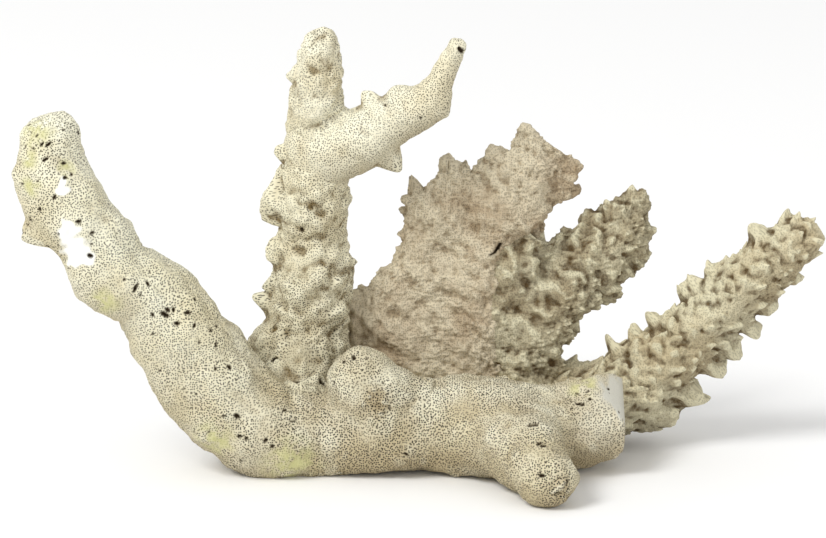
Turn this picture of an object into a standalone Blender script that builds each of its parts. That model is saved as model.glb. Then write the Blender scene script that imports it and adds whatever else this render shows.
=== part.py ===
"""Branching coral: a dry, bleached piece of branching stony coral that rests on a flat cut underneath.

The colony grew as one piece, so its skin is modelled once: round and flat branches along smooth routes, with
the cups, spines and thorns that grow on them fused in. The skin is then cut flat where it stood, and sawn
with a thin blade at its main forks, which gives one closed solid for each named branch.

X runs to the right of the front view, Y away from it and Z up. The origin is on the flat cut, under the
middle of the trunk. The dimensions below are in millimetres, and MM turns them into metres.
"""
import math

import bmesh
import bpy
import numpy as np
from mathutils import Matrix, Vector
from mathutils.bvhtree import BVHTree

MM = 0.001

# How finely the skin is made, in millimetres, and how many triangles it keeps
SKIN_VOXEL = 0.9
SKIN_TRIANGLES = 7600
SAW_KERF = 0.3
ROUTE_STEP = 2.0
TUBE_SIDES_RESOLUTION = 5

# Routes of the branches: x, y, z and radius at each station
LEFT_ARM = [
    (-12, 0, 12.5, 13.5),
    (-19, 0, 11.8, 15),
    (-27.4, 0, 15.6, 15.9),
    (-35, 0, 21, 16.6),
    (-43, -1, 32.2, 16.4),
    (-49.8, -3, 43.3, 15.4),
    (-55, -4, 52.5, 14.4),
    (-61.5, -6, 60.5, 12.7),
    (-72, -8, 67.5, 13.1),
    (-77.5, -9, 79.5, 12.3),
    (-84.5, -10, 89, 12.8),
    (-89.5, -11, 100, 11.4),
    (-89, -11, 110.5, 9.4),
]
TRUNK = [
    (-19, 0, 11.8, 15),
    (-6, 0, 12, 13.8),
    (7, 0, 13.5, 13.8),
    (19, 0, 14.2, 14.2),
    (32, 0, 15.5, 14.4),
    (45, -1, 16.3, 14.4),
    (53, -1.5, 15.5, 13.8),
]
TRUNK_KNOB = [
    (12, -1, 17, 12),
    (8.5, -4, 26, 11.2),
    (7, -5, 31.5, 10.6),
]
TRUNK_KNOB_SLOPE = [
    (12, -4, 25, 10.5),
    (19, -3, 25, 9.5),
]
BACK_ROOT = [
    (-12, 16, 11, 12.5),
    (2, 12, 11, 12),
    (24, 15, 12, 12.5),
    (44, 19, 13, 13.5),
    (58, 26, 13, 13),
    (72, 31, 13, 12.5),
]
FRONT_FOOT = [
    (46, -2, 16.2, 13.8),
    (54.5, -15, 14.6, 12.5),
    (60.5, -27, 11.6, 11),
    (65.2, -36.8, 8.6, 9.6),
]
CUT_STUB = [
    (53, -1.5, 15.5, 13.6),
    (65.5, -0.5, 15.2, 12.8),
    (75.5, 0, 16, 13.3),
    (85, 0.5, 18, 12.9),
]
COLUMN = [
    (-13.5, 4, 14, 13.5),
    (-13, 14, 21, 14),
    (-12.2, 21, 29, 14),
    (-11.8, 23.5, 37, 13.4),
    (-11, 24, 44, 12.8),
    (-9.7, 24, 51, 12.3),
    (-9, 24, 58, 12.5),
    (-9.3, 24, 65.5, 11.1),
    (-8.8, 24, 73, 10.6),
    (-9, 23, 82, 11.2),
    (-8.8, 23, 90.5, 10.4),
    (-7.7, 22, 100.5, 9.3),
]
COLUMN_ROOT_LUMP = [
    (-18, 20, 26, 9),
    (-24.5, 22, 33, 7.8),
]
COLUMN_TOP = [
    (-7.7, 22, 100.5, 8.8),
    (-8, 22, 108.5, 8.5),
    (-7.4, 21, 117, 8.1),
    (-6.5, 20, 124, 7.3),
    (-6.1, 19, 131, 6.3),
    (-6.1, 19, 134.7, 5.4),
]
SIDE_BRANCH = [
    (-7.7, 22, 100.5, 8.5),
    (0, 19, 100.6, 9),
    (7, 17, 105, 9.8),
    (14.5, 15, 110.5, 8.5),
    (21.5, 13, 114.4, 7.6),
    (27.5, 11, 117.7, 6.8),
    (31.3, 10, 123, 4.6),
    (34.4, 9, 129.7, 3.6),
    (37, 8, 136.3, 3.1),
]
FAN_LEFT_CORE = [
    (34, 27, 16, 19),
    (30, 28, 30, 21),
    (27.5, 28, 47, 17.5),
    (32, 27, 63, 12),
    (33.5, 26, 76, 11),
    (35, 26, 86, 7.5),
]
FAN_MIDDLE_CORE = [
    (45, 26, 16, 20),
    (46, 26, 30, 21),
    (48.5, 26, 50, 19),
    (51, 25, 67, 13),
    (55, 25, 80, 13),
    (61, 24, 91, 11.5),
]
FAN_RIGHT_CORE = [
    (54, 27, 20, 16),
    (61, 28, 38, 14),
    (70, 30, 48.5, 11.8),
    (79.5, 31, 58.5, 11.2),
    (88.5, 32, 68, 10.4),
    (94.5, 33, 76, 7.5),
]
RIGHT_BRANCH = [
    (62, 29, 13, 12.5),
    (72, 31, 13, 11.8),
    (81.5, 31, 14.7, 11.6),
    (90.5, 30, 17.6, 11.6),
    (101, 28, 25.8, 10.9),
    (110.6, 26, 35, 10.2),
    (120, 24, 44.7, 9.8),
    (129.2, 22, 54.4, 9.5),
    (137.8, 20, 63.5, 9),
    (144.5, 18, 70, 7.9),
    (148.3, 17, 73.4, 5.6),
]
RIGHT_BRANCH_HEEL = [
    (89, 30, 15, 11.5),
    (98.5, 29, 15.6, 10.6),
]

# Half the fan's thickness, as a share of its lobes' half widths
FAN_LEFT_FLATNESS = 0.36
FAN_MIDDLE_FLATNESS = 0.42
FAN_RIGHT_FLATNESS = 0.62

# Outlines of the fan's thin, toothed margins: x and z at each tip and each notch
FAN_MARGIN_PLACE = 26
FAN_MARGIN_THICKNESS = 5
FAN_MARGIN = [
    (8, 22), (6, 30), (0.5, 33), (0.5, 48.5), (3.5, 51), (6, 53.5), (10.5, 54.5), (11.5, 59),
    (16.5, 61), (19, 67), (20, 72.5), (20.5, 77),
    (18.5, 79), (21.5, 81), (20.5, 83), (23, 84.5), (24.5, 90), (27, 85.5), (29, 89.5), (32.5, 91),
    (33, 95), (35, 98.5), (38, 95), (41, 97), (42, 91.5), (45.5, 96.5), (48, 100.5), (54.5, 98.5),
    (55.5, 103), (59.5, 107), (62, 106), (66, 102.5), (71.5, 99), (78.5, 94.5), (74, 89.5),
    (77, 86.5), (69.5, 81.5), (65, 77), (66.5, 74), (62, 71), (65.5, 70), (68, 66), (69, 22),
]
FAN_RIGHT_MARGIN_PLACE = 30
FAN_RIGHT_MARGIN_THICKNESS = 7
FAN_RIGHT_MARGIN = [
    (62, 26), (64, 62), (68, 66), (70, 68.5), (72.5, 74), (75, 70.5), (78.5, 75), (83, 80.5), (84.5, 76),
    (87.5, 80.5), (90.5, 83), (94.5, 84), (98, 85.5), (100.5, 81), (100, 74), (101, 69), (99, 63.5),
    (96, 58), (92, 54.5), (88, 54), (91.5, 50), (84, 47.5), (77, 44.5), (75.5, 41), (77.5, 38),
    (71, 33.5), (68.5, 31), (69, 26),
]

# Cups and spines on the branches: their spacing, height, base radius and lean towards the tip in degrees,
# and the stretch of the branch that they cover
CUPS = {
    "column": (COLUMN, 6.6, 2.3, 3.1, 25, 0.32, 1.0),
    "column_top": (COLUMN_TOP, 5.4, 1.2, 2.4, 30, 0.2, 0.93),
    "right_branch": (RIGHT_BRANCH, 7.0, 2.4, 3.2, 35, 0.27, 0.98),
}
# Bare places with no cups: lowest and highest corner of each, where the column meets the fan and the side branch
CUP_FREE_BOXES = [
    ((-3, 8, 20), (10, 40, 63)),
    ((-3, 8, 104), (8, 34, 119)),
]
FAN_CUP_SPACING = 7.6
FAN_CUP_HEIGHT = 1.5
FAN_CUP_RADIUS = 3.2
FAN_RIGHT_CUP_SPACING = 7.0
FAN_RIGHT_CUP_HEIGHT = 2.3
FAN_RIGHT_CUP_RADIUS = 3.3
FAN_CUP_FLOOR = 29
CUP_TIP_SHARE = 0.5
CUP_ROOT = 1.5
CUP_SIDES = 6
CUP_SEED = 11
GOLDEN_ANGLE = math.pi * (3 - math.sqrt(5))

# Single thorns: x, y and z of the root, direction in degrees from +X in the front view, height, root radius
THORNS = [
    (-14.5, 21, 124.5, 165, 4, 2.2),
    (-15, 22, 98, 165, 7.5, 3),
    (-18, 22, 83.5, 170, 8, 4),
    (-18, 23, 77.5, 180, 6, 3),
    (-20, 22, 66, 175, 5, 4),
    (-20, 23, 55, 180, 6, 3),
    (-21, 24, 50.5, 190, 7, 3.5),
    (2, 24, 62, 20, 3.5, 2.2),
    (8, 16, 113.5, 95, 5, 1.8),
    (9.5, 15, 117, 100, 4.5, 3),
    (18.5, 13, 118, 95, 4.5, 3),
    (16.5, 13, 103, 290, 8.5, 4),
    (30, 10, 117, 325, 5.5, 4),
    (85.5, 28, 31.5, 80, 5, 2.4),
    (93.5, 27, 35.5, 80, 4.5, 2.6),
    (99.5, 26, 40.5, 85, 4.5, 2.4),
    (107.5, 25, 45.5, 85, 9.5, 2.8),
    (112, 24, 52, 85, 5.5, 3.4),
    (119, 23, 58, 95, 4, 3),
    (133, 20, 70.5, 100, 5, 3.2),
    (147, 17, 75, 60, 4.5, 3),
    (149.5, 17, 72, 350, 5.5, 3),
    (143, 18, 62.5, 315, 7, 3),
    (134, 20, 50, 325, 6, 3),
    (129.5, 21, 43.5, 320, 7.5, 3),
    (124.5, 22, 36.5, 315, 8, 4),
    (118.5, 24, 29.5, 320, 8, 4.5),
    (111.5, 25, 21, 320, 9, 4.5),
    (103, 27, 12.5, 330, 8, 4.5),
    (-91, -12, 79, 190, 7, 6),
]

# The cut ends: a blunt saw end on the stub, and a worn facet on its upper right corner
STUB_END_X = 91
STUB_FACET_CENTRE = (85, 0.5, 18)
STUB_FACET_DIRECTION = (0.5, -0.42, 0.76)
STUB_FACET_DEPTH = 10.6
CUT_BLOCK = 26

# Saw cuts at the main forks: centre, direction of the blade's axis, half width and half height of the blade
SAW_CUTS = {
    "arm_saw": ((-31.5, 0, 19), (-0.9, 0, 0.44), 19, 19),
    "foot_saw": ((57, -20.3, 13.8), (0.46, -0.87, -0.17), 14.5, 14.5),
    "stub_saw": ((69.5, 0, 15.2), (1, 0, 0), 15.6, 16),
    "column_saw": ((-12.7, 17.2, 25), (0.07, 0.61, 0.79), 16.8, 16.8),
    "column_top_saw": ((-9.3, 22, 113), (0, 0, 1), 12.4, 13),
    "side_branch_saw": ((3.2, 18.4, 101.8), (0.95, -0.2, 0.2), 12, 12),
    "right_branch_saw": ((86, 30.6, 16.2), (0.95, 0, 0.3), 14.5, 17),
}
# Saw cuts through the flat fan: lowest and highest corner of each blade
FAN_CUTS = {
    "column_side_saw": ((4.2, 8, 24), (4.2, 48, 56)),
    "fan_base_saw": ((4.2, 11.5, 26.5), (77.5, 46, 26.5)),
    "fan_top_saw": ((4.2, 8, 60), (69, 48, 60)),
    "fan_gap_saw": ((43, 8, 60), (43, 48, 98)),
    "fan_right_saw": ((69, 8, 26.5), (69, 52, 72)),
}

# Each branch: a point in the middle of it, its colour and its roughness
BRANCHES = {
    "left_arm": ((-63, -6, 65), (0.58, 0.54, 0.42), 0.85),
    "trunk": (((-31.5 + 66) / 2, 4, 13), (0.52, 0.46, 0.35), 0.85),
    "front_foot": ((61, -28, 12), (0.54, 0.50, 0.40), 0.85),
    "cut_stub": ((79, 2, 16), (0.56, 0.53, 0.43), 0.7),
    "column": ((-10, 23, 66), (0.50, 0.44, 0.32), 0.9),
    "column_top": ((-7, 20, 122), (0.62, 0.58, 0.45), 0.9),
    "side_branch": ((20, 13, 115), (0.61, 0.57, 0.47), 0.85),
    "fan_plate": ((42, 27, 43), (0.46, 0.38, 0.28), 0.92),
    "fan_left_lobe": ((31, 27, 75), (0.50, 0.41, 0.31), 0.92),
    "fan_middle_lobe": ((58, 25, 83), (0.52, 0.44, 0.32), 0.92),
    "fan_right_lobe": ((85, 31, 62), (0.40, 0.34, 0.22), 0.92),
    "right_branch": ((118, 24, 43), (0.44, 0.39, 0.28), 0.92),
}
COLLECTION_NAME = "branching_coral"
CUTTER_COLLECTION_NAME = "saw_blades"


def clear_scene():
    """Remove every object that the file opened with."""
    for item in list(bpy.data.objects):
        bpy.data.objects.remove(item, do_unlink=True)


def new_collection(name):
    """Make a collection in the scene."""
    collection = bpy.data.collections.new(name)
    bpy.context.scene.collection.children.link(collection)
    return collection


def coral_material(name, colour, roughness):
    """Matt bleached stone in one colour."""
    material = bpy.data.materials.new(name)
    material.use_nodes = True
    shader = material.node_tree.nodes["Principled BSDF"]
    shader.inputs["Base Color"].default_value = (*colour, 1)
    shader.inputs["Roughness"].default_value = roughness
    shader.inputs["Metallic"].default_value = 0
    return material


def evaluated_mesh(item):
    """The mesh that an object shows once its modifiers or its bevel are worked out."""
    graph = bpy.context.evaluated_depsgraph_get()
    return bpy.data.meshes.new_from_object(item.evaluated_get(graph), depsgraph=graph)


def smooth_route(stations):
    """Catmull-Rom curve through the stations, as rows of x, y, z and radius in millimetres."""
    knots = np.array(stations, float)
    knots = np.vstack([2 * knots[0] - knots[1], knots, 2 * knots[-1] - knots[-2]])
    rows = []
    for before, start, end, after in zip(knots, knots[1:], knots[2:], knots[3:]):
        count = max(2, round(float(np.linalg.norm((end - start)[:3])) / ROUTE_STEP))
        t = np.linspace(0, 1, count, endpoint=False)[:, None]
        bend = (end - before) * t + (2 * before - 5 * start + 4 * end - after) * t ** 2
        bend += (3 * start - before - 3 * end + after) * t ** 3
        rows.append(start + bend / 2)
    rows.append(knots[-2][None])
    return np.vstack(rows)


def add_mesh(soup, mesh, matrix):
    """Put a copy of a mesh into the soup of overlapping closed shapes, and delete the mesh."""
    mesh.transform(matrix)
    soup.from_mesh(mesh)
    bpy.data.meshes.remove(mesh)


def add_tube(soup, stations, flatness=1.0):
    """A branch along its route with a ball at each end; a flat lobe is thinner in Y by its flatness."""
    route = smooth_route(stations)
    plane = float(route[:, 1].mean())
    route[:, 1] = plane + (route[:, 1] - plane) / flatness
    curve = bpy.data.curves.new("route", "CURVE")
    curve.dimensions = "3D"
    curve.bevel_depth = MM
    curve.bevel_resolution = TUBE_SIDES_RESOLUTION
    curve.use_fill_caps = True
    spline = curve.splines.new("POLY")
    spline.points.add(len(route) - 1)
    for point, (x, y, z, radius) in zip(spline.points, route):
        point.co = (x * MM, y * MM, z * MM, 1)
        point.radius = radius
    item = bpy.data.objects.new("route", curve)
    bpy.context.scene.collection.objects.link(item)
    bpy.context.view_layer.update()
    mesh = evaluated_mesh(item)
    bpy.data.objects.remove(item)
    bpy.data.curves.remove(curve)
    tube = bmesh.new()
    tube.from_mesh(mesh)
    bmesh.ops.remove_doubles(tube, verts=tube.verts, dist=1e-6)
    for x, y, z, radius in (route[0], route[-1]):
        place = Matrix.Translation((x * MM, y * MM, z * MM))
        bmesh.ops.create_uvsphere(tube, u_segments=16, v_segments=10, radius=radius * MM, matrix=place)
    tube.to_mesh(mesh)
    tube.free()
    squash = Matrix.Translation((0, plane * MM, 0)) @ Matrix.Diagonal((1, flatness, 1, 1))
    add_mesh(soup, mesh, squash @ Matrix.Translation((0, -plane * MM, 0)))


def add_margin(soup, outline, place, thickness):
    """The thin toothed margin of the fan: a flat outline that stands upright at its place in Y."""
    curve = bpy.data.curves.new("margin", "CURVE")
    curve.dimensions = "2D"
    curve.fill_mode = "BOTH"
    curve.extrude = thickness / 2 * MM
    spline = curve.splines.new("POLY")
    spline.points.add(len(outline) - 1)
    for point, (x, z) in zip(spline.points, outline):
        point.co = (x * MM, z * MM, 0, 1)
    spline.use_cyclic_u = True
    item = bpy.data.objects.new("margin", curve)
    bpy.context.scene.collection.objects.link(item)
    bpy.context.view_layer.update()
    mesh = evaluated_mesh(item)
    bpy.data.objects.remove(item)
    bpy.data.curves.remove(curve)
    plate = bmesh.new()
    plate.from_mesh(mesh)
    bmesh.ops.remove_doubles(plate, verts=plate.verts, dist=1e-6)
    bmesh.ops.recalc_face_normals(plate, faces=plate.faces)
    plate.to_mesh(mesh)
    plate.free()
    upright = Matrix.Translation((0, place * MM, 0)) @ Matrix.Rotation(math.pi / 2, 4, "X")
    add_mesh(soup, mesh, upright)


def add_cone(soup, root, direction, height, radius):
    """A cup, spine or thorn: a blunt cone that is rooted a little below the skin."""
    direction = direction.normalized()
    middle = root + direction * ((height - CUP_ROOT) / 2 * MM)
    turn = direction.to_track_quat("Z", "Y").to_matrix().to_4x4()
    bmesh.ops.create_cone(
        soup,
        cap_ends=True,
        segments=CUP_SIDES,
        radius1=radius * MM,
        radius2=radius * CUP_TIP_SHARE * MM,
        depth=(height + CUP_ROOT) * MM,
        matrix=Matrix.Translation(middle) @ turn,
    )


def in_a_bare_place(point):
    """Whether a point in metres lies in one of the places without cups."""
    for low, high in CUP_FREE_BOXES:
        if all(low[k] * MM < point[k] < high[k] * MM for k in range(3)):
            return True
    return False


def add_cups(soup, core, stations, spacing, height, radius, lean, first, last, rng):
    """Cups in a golden-angle spiral round a branch, each leaning towards the branch's tip."""
    route = smooth_route(stations)
    steps = np.linalg.norm(np.diff(route[:, :3], axis=0), axis=1)
    along = np.concatenate([[0], np.cumsum(steps)])
    reach = first * along[-1]
    turn = 0.0
    while reach < last * along[-1]:
        x, y, z, branch_radius = (float(np.interp(reach, along, route[:, k])) for k in range(4))
        ahead_row = [np.interp(reach + 1, along, route[:, k]) for k in range(3)]
        behind_row = [np.interp(reach - 1, along, route[:, k]) for k in range(3)]
        ahead = Vector(ahead_row) - Vector(behind_row)
        ahead.normalize()
        side = ahead.cross(Vector((0, 1, 0))).normalized()
        other = side.cross(ahead)
        outward = side * math.cos(turn) + other * math.sin(turn)
        centre = Vector((x, y, z)) * MM
        hit, _, _, _ = core.ray_cast(centre + outward * branch_radius * 2 * MM, -outward)
        on_the_branch = hit is not None and (hit - centre).length < branch_radius * 1.3 * MM
        if on_the_branch and not in_a_bare_place(hit):
            tilt = math.radians(lean)
            size = rng.uniform(0.75, 1.25)
            direction = outward * math.cos(tilt) + ahead * math.sin(tilt)
            add_cone(soup, hit, direction, height * size, radius * size)
        turn += GOLDEN_ANGLE
        reach += spacing ** 2 / (2 * math.pi * branch_radius)


def inside(outline, x, z):
    """Whether a point lies inside a closed outline, by counting the edges that it is left of."""
    crossings = 0
    for (x0, z0), (x1, z1) in zip(outline, outline[1:] + outline[:1]):
        if (z0 > z) != (z1 > z) and x < x0 + (z - z0) / (z1 - z0) * (x1 - x0):
            crossings += 1
    return crossings % 2 == 1


def add_fan_cups(soup, core, outline, spacing, height, radius, heart, rng):
    """Cups on both faces of a flat lobe, in staggered rows, leaning away from the fan's heart."""
    xs = [x for x, _ in outline]
    zs = [z for _, z in outline]
    row = 0
    z = min(zs) + spacing / 2
    while z < max(zs):
        x = min(xs) + (row % 2) * spacing / 2
        while x < max(xs):
            place_x = x + rng.uniform(-0.25, 0.25) * spacing
            place_z = z + rng.uniform(-0.25, 0.25) * spacing
            size = rng.uniform(0.7, 1.3)
            for facing in (-1, 1):
                start = Vector((place_x * MM, facing * 0.1 + 0.03, place_z * MM))
                hit, normal, _, _ = core.ray_cast(start, Vector((0, -facing, 0)))
                on_the_fan = hit is not None and place_z > FAN_CUP_FLOOR and inside(outline, place_x, place_z)
                if not on_the_fan:
                    continue
                away = Vector((place_x - heart[0], 0, place_z - heart[1])).normalized()
                add_cone(soup, hit, normal + away * 0.5, height * size, radius * size)
            x += spacing
        z += spacing * math.sqrt(3) / 2
        row += 1


def coral_skin():
    """All the overlapping shapes of the colony in one mesh object, which the modifiers fuse and simplify."""
    soup = bmesh.new()
    for stations in (LEFT_ARM, TRUNK, TRUNK_KNOB, TRUNK_KNOB_SLOPE, BACK_ROOT, FRONT_FOOT, CUT_STUB,
                     COLUMN, COLUMN_ROOT_LUMP, COLUMN_TOP, SIDE_BRANCH, RIGHT_BRANCH, RIGHT_BRANCH_HEEL):
        add_tube(soup, stations)
    add_tube(soup, FAN_LEFT_CORE, FAN_LEFT_FLATNESS)
    add_tube(soup, FAN_MIDDLE_CORE, FAN_MIDDLE_FLATNESS)
    add_tube(soup, FAN_RIGHT_CORE, FAN_RIGHT_FLATNESS)
    add_margin(soup, FAN_MARGIN, FAN_MARGIN_PLACE, FAN_MARGIN_THICKNESS)
    add_margin(soup, FAN_RIGHT_MARGIN, FAN_RIGHT_MARGIN_PLACE, FAN_RIGHT_MARGIN_THICKNESS)
    core = BVHTree.FromBMesh(soup)
    rng = np.random.default_rng(CUP_SEED)
    for values in CUPS.values():
        add_cups(soup, core, *values, rng)
    add_fan_cups(soup, core, FAN_MARGIN, FAN_CUP_SPACING, FAN_CUP_HEIGHT, FAN_CUP_RADIUS, (40, 25), rng)
    add_fan_cups(soup, core, FAN_RIGHT_MARGIN, FAN_RIGHT_CUP_SPACING, FAN_RIGHT_CUP_HEIGHT,
                 FAN_RIGHT_CUP_RADIUS, (60, 35), rng)
    for x, y, z, degrees, height, radius in THORNS:
        angle = math.radians(degrees)
        direction = Vector((math.cos(angle), 0, math.sin(angle)))
        add_cone(soup, Vector((x, y, z)) * MM, direction, height, radius)
    mesh = bpy.data.meshes.new("coral_skin")
    soup.to_mesh(mesh)
    soup.free()
    skin = bpy.data.objects.new("coral_skin", mesh)
    bpy.context.scene.collection.objects.link(skin)
    return skin


def fuse_and_simplify(skin):
    """Fuse the shapes into one closed skin, soften it, and keep the triangles that its form needs."""
    fuse = skin.modifiers.new("fuse", "REMESH")
    fuse.mode = "VOXEL"
    fuse.voxel_size = SKIN_VOXEL * MM
    soften = skin.modifiers.new("soften", "SMOOTH")
    soften.factor = 0.5
    soften.iterations = 2
    mesh = evaluated_mesh(skin)
    skin.modifiers.clear()
    skin.data = mesh
    mesh.calc_loop_triangles()
    thin = skin.modifiers.new("thin_out", "DECIMATE")
    thin.ratio = SKIN_TRIANGLES / len(mesh.loop_triangles)
    thin.use_collapse_triangulate = True
    skin.data = evaluated_mesh(skin)
    skin.modifiers.clear()


def new_cutter(name, shape, collection):
    """A cutter object from a bmesh, which is kept out of renders."""
    mesh = bpy.data.meshes.new(name)
    shape.to_mesh(mesh)
    shape.free()
    cutter = bpy.data.objects.new(name, mesh)
    cutter.hide_render = True
    cutter.display_type = "WIRE"
    collection.objects.link(cutter)
    return cutter


def box_cutter(name, low, high, collection):
    """An upright box between two corners, in millimetres; a side of no length is as thick as the blade."""
    low = np.array(low, float)
    high = np.array(high, float)
    size = np.maximum(high - low, SAW_KERF)
    shape = bmesh.new()
    middle = Matrix.Translation(Vector((low + high) / 2) * MM)
    bmesh.ops.create_cube(shape, size=1, matrix=middle @ Matrix.Diagonal((*(size * MM), 1)))
    return new_cutter(name, shape, collection)


def blade_cutter(name, centre, direction, half_width, half_height, collection):
    """A thin oval saw blade across a branch."""
    turn = Vector(direction).to_track_quat("Z", "Y").to_matrix().to_4x4()
    size = Matrix.Diagonal((half_width * MM, half_height * MM, SAW_KERF * MM, 1))
    shape = bmesh.new()
    bmesh.ops.create_cone(
        shape,
        cap_ends=True,
        segments=24,
        radius1=1,
        radius2=1,
        depth=1,
        matrix=Matrix.Translation(Vector(centre) * MM) @ turn @ size,
    )
    return new_cutter(name, shape, collection)


def facet_cutter(name, centre, direction, depth, collection):
    """A block whose lower face lies at a depth from a centre, square to a direction."""
    direction = Vector(direction).normalized()
    turn = direction.to_track_quat("Z", "Y").to_matrix().to_4x4()
    middle = Vector(centre) + direction * (depth + CUT_BLOCK / 2)
    shape = bmesh.new()
    bmesh.ops.create_cube(shape, size=CUT_BLOCK * MM, matrix=Matrix.Translation(middle * MM) @ turn)
    return new_cutter(name, shape, collection)


def cut_and_saw(skin, cutters):
    """Cut the skin flat underneath, trim the stub and saw the forks."""
    for cutter in cutters:
        cut = skin.modifiers.new(cutter.name, "BOOLEAN")
        cut.operation = "DIFFERENCE"
        cut.solver = "EXACT"
        cut.object = cutter
    bpy.context.view_layer.update()
    skin.data = evaluated_mesh(skin)
    skin.modifiers.clear()


def loose_parts(mesh):
    """Split a mesh into its separate closed bodies, as one bmesh for each."""
    whole = bmesh.new()
    whole.from_mesh(mesh)
    whole.verts.ensure_lookup_table()
    seen = set()
    groups = []
    for first in whole.verts:
        if first.index in seen:
            continue
        seen.add(first.index)
        group = {first.index}
        front = [first]
        while front:
            vert = front.pop()
            for edge in vert.link_edges:
                other = edge.other_vert(vert)
                if other.index not in seen:
                    seen.add(other.index)
                    group.add(other.index)
                    front.append(other)
        groups.append(group)
    parts = []
    for group in groups:
        part = whole.copy()
        part.verts.ensure_lookup_table()
        bmesh.ops.delete(part, geom=[v for v in part.verts if v.index not in group], context="VERTS")
        parts.append(part)
    whole.free()
    return parts


def name_branches(parts, collection):
    """Give each solid the name of the branch whose middle it is nearest to."""
    middles = []
    for part in parts:
        low = Vector([min(v.co[k] for v in part.verts) for k in range(3)])
        high = Vector([max(v.co[k] for v in part.verts) for k in range(3)])
        middles.append((low + high) / 2)
    for name, (middle, colour, roughness) in BRANCHES.items():
        gaps = [(Vector(middle) * MM - other).length for other in middles]
        part = parts[gaps.index(min(gaps))]
        mesh = bpy.data.meshes.new(name)
        part.to_mesh(mesh)
        mesh.materials.append(coral_material(name + "_coral", colour, roughness))
        branch = bpy.data.objects.new(name, mesh)
        collection.objects.link(branch)
    for part in parts:
        part.free()


def build():
    """Build the coral."""
    clear_scene()
    coral = new_collection(COLLECTION_NAME)
    blades = new_collection(CUTTER_COLLECTION_NAME)
    skin = coral_skin()
    fuse_and_simplify(skin)
    cutters = [
        box_cutter("ground", (-120, -80, -60), (180, 80, 0), blades),
        box_cutter("stub_end", (STUB_END_X, -24, -10), (STUB_END_X + CUT_BLOCK, 16.4, 48), blades),
        facet_cutter("stub_facet", STUB_FACET_CENTRE, STUB_FACET_DIRECTION, STUB_FACET_DEPTH, blades),
    ]
    for name, values in SAW_CUTS.items():
        cutters.append(blade_cutter(name, *values, blades))
    for name, (low, high) in FAN_CUTS.items():
        cutters.append(box_cutter(name, low, high, blades))
    cut_and_saw(skin, cutters)
    parts = loose_parts(skin.data)
    name_branches(parts, coral)
    bpy.data.objects.remove(skin)


build()
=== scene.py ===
import math

import bmesh
import bpy
import numpy as np
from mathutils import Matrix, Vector


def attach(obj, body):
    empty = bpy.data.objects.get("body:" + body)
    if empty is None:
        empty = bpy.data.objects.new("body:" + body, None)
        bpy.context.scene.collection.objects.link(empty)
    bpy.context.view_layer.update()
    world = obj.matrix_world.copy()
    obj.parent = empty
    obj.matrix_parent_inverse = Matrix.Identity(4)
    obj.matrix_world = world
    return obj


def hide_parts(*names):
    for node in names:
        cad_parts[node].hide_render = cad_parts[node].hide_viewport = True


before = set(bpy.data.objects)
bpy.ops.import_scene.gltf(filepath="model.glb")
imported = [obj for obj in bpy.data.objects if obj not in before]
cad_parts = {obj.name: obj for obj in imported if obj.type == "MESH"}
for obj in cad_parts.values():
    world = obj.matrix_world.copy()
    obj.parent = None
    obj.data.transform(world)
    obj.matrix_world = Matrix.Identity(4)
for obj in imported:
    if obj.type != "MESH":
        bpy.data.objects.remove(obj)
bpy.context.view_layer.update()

# The smooth limb. The left arm, the low trunk and the sawn stub are one worn branch of lime skeleton,
# pierced all over by fine pores. It grew in one run, so one tube is worked out here and parted in three at
# shared rings, and its underside is cut off flat where the colony was taken from the rock.
MM = 0.001
TURN = 2 * math.pi
# The mesh: mm between places on a centreline, how much finer the grid is made, a ray's steps to the
# surface, and the mm within which points are merged.
ROUTE_STEP = 1.6
FINER = 4
REACH_STEPS = 18
MERGE_WITHIN = 0.002
# Stations along a branch, here and in the sections below: x, y, z and radius in mm.
LEFT_ARM = (
    (-89.6, -11, 110.2, 9.5), (-89.4, -11, 100.4, 11.2), (-84.5, -10, 89, 12.8), (-77.5, -9, 79.5, 12.3),
    (-72, -8, 67.5, 13.1), (-61.5, -6, 60.5, 12.7), (-55, -4, 52.5, 14.4), (-49.8, -3, 43.3, 15.4),
    (-43, -1, 32.2, 16.4), (-35, 0, 21, 16.6), (-27.4, 0, 15.6, 15.9), (-19, 0, 11.8, 15),
)
TRUNK = (
    (-6, 0, 12, 13.8), (7, 0, 13.5, 13.8), (19, 0, 14.2, 14.2), (32, 0, 14.9, 14), (45, -1, 15.1, 13.7),
    (53, -1.5, 14.8, 13.4),
)
CUT_STUB = ((65.5, -0.5, 15.2, 12.8), (75.5, 0, 16, 13.3), (85, 0.5, 18, 12.9), (93, 1, 19.5, 12.4))
# The limb is parted at a share of its rows and at an x. The stub's end is cut at another x, and its facet
# by a plane. Their edges are rounded over some mm.
ARM_ENDS_AT = 0.548
STUB_STARTS_AT_X = 69.5
STUB_END_X = 91
STUB_END_ROUNDING = 2.0
FACET_CENTRE = (85, 0.5, 18)
FACET_TOWARDS = (0.5, -0.42, 0.76)
FACET_DEPTH = 9.2
FACET_ROUNDING = 0.6
# Wear on the facet: its growth with the depth cut away, how uneven it is, and the most.
FACET_WEAR = 0.35
FACET_UNEVEN = 0.4
FACET_WEAR_MOST = 0.75
# Places seen from the front are given where the camera sees them, in picture units across and down.
VIEW_SIZE = (826, 538)
VIEW_CENTRE = (413.0, 269.0)
VIEW_UNIT = 0.32
VIEW_DISTANCE = 1200.0
VIEW_TILT = math.radians(14.0)
VIEW_TARGET = np.array([23.4, 10.0, 64.1])
VIEW_AHEAD = np.array([0.0, math.cos(VIEW_TILT), -math.sin(VIEW_TILT)])
VIEW_UP = np.array([0.0, math.sin(VIEW_TILT), math.cos(VIEW_TILT)])
VIEW_EYE = VIEW_TARGET - VIEW_DISTANCE * VIEW_AHEAD
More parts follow.
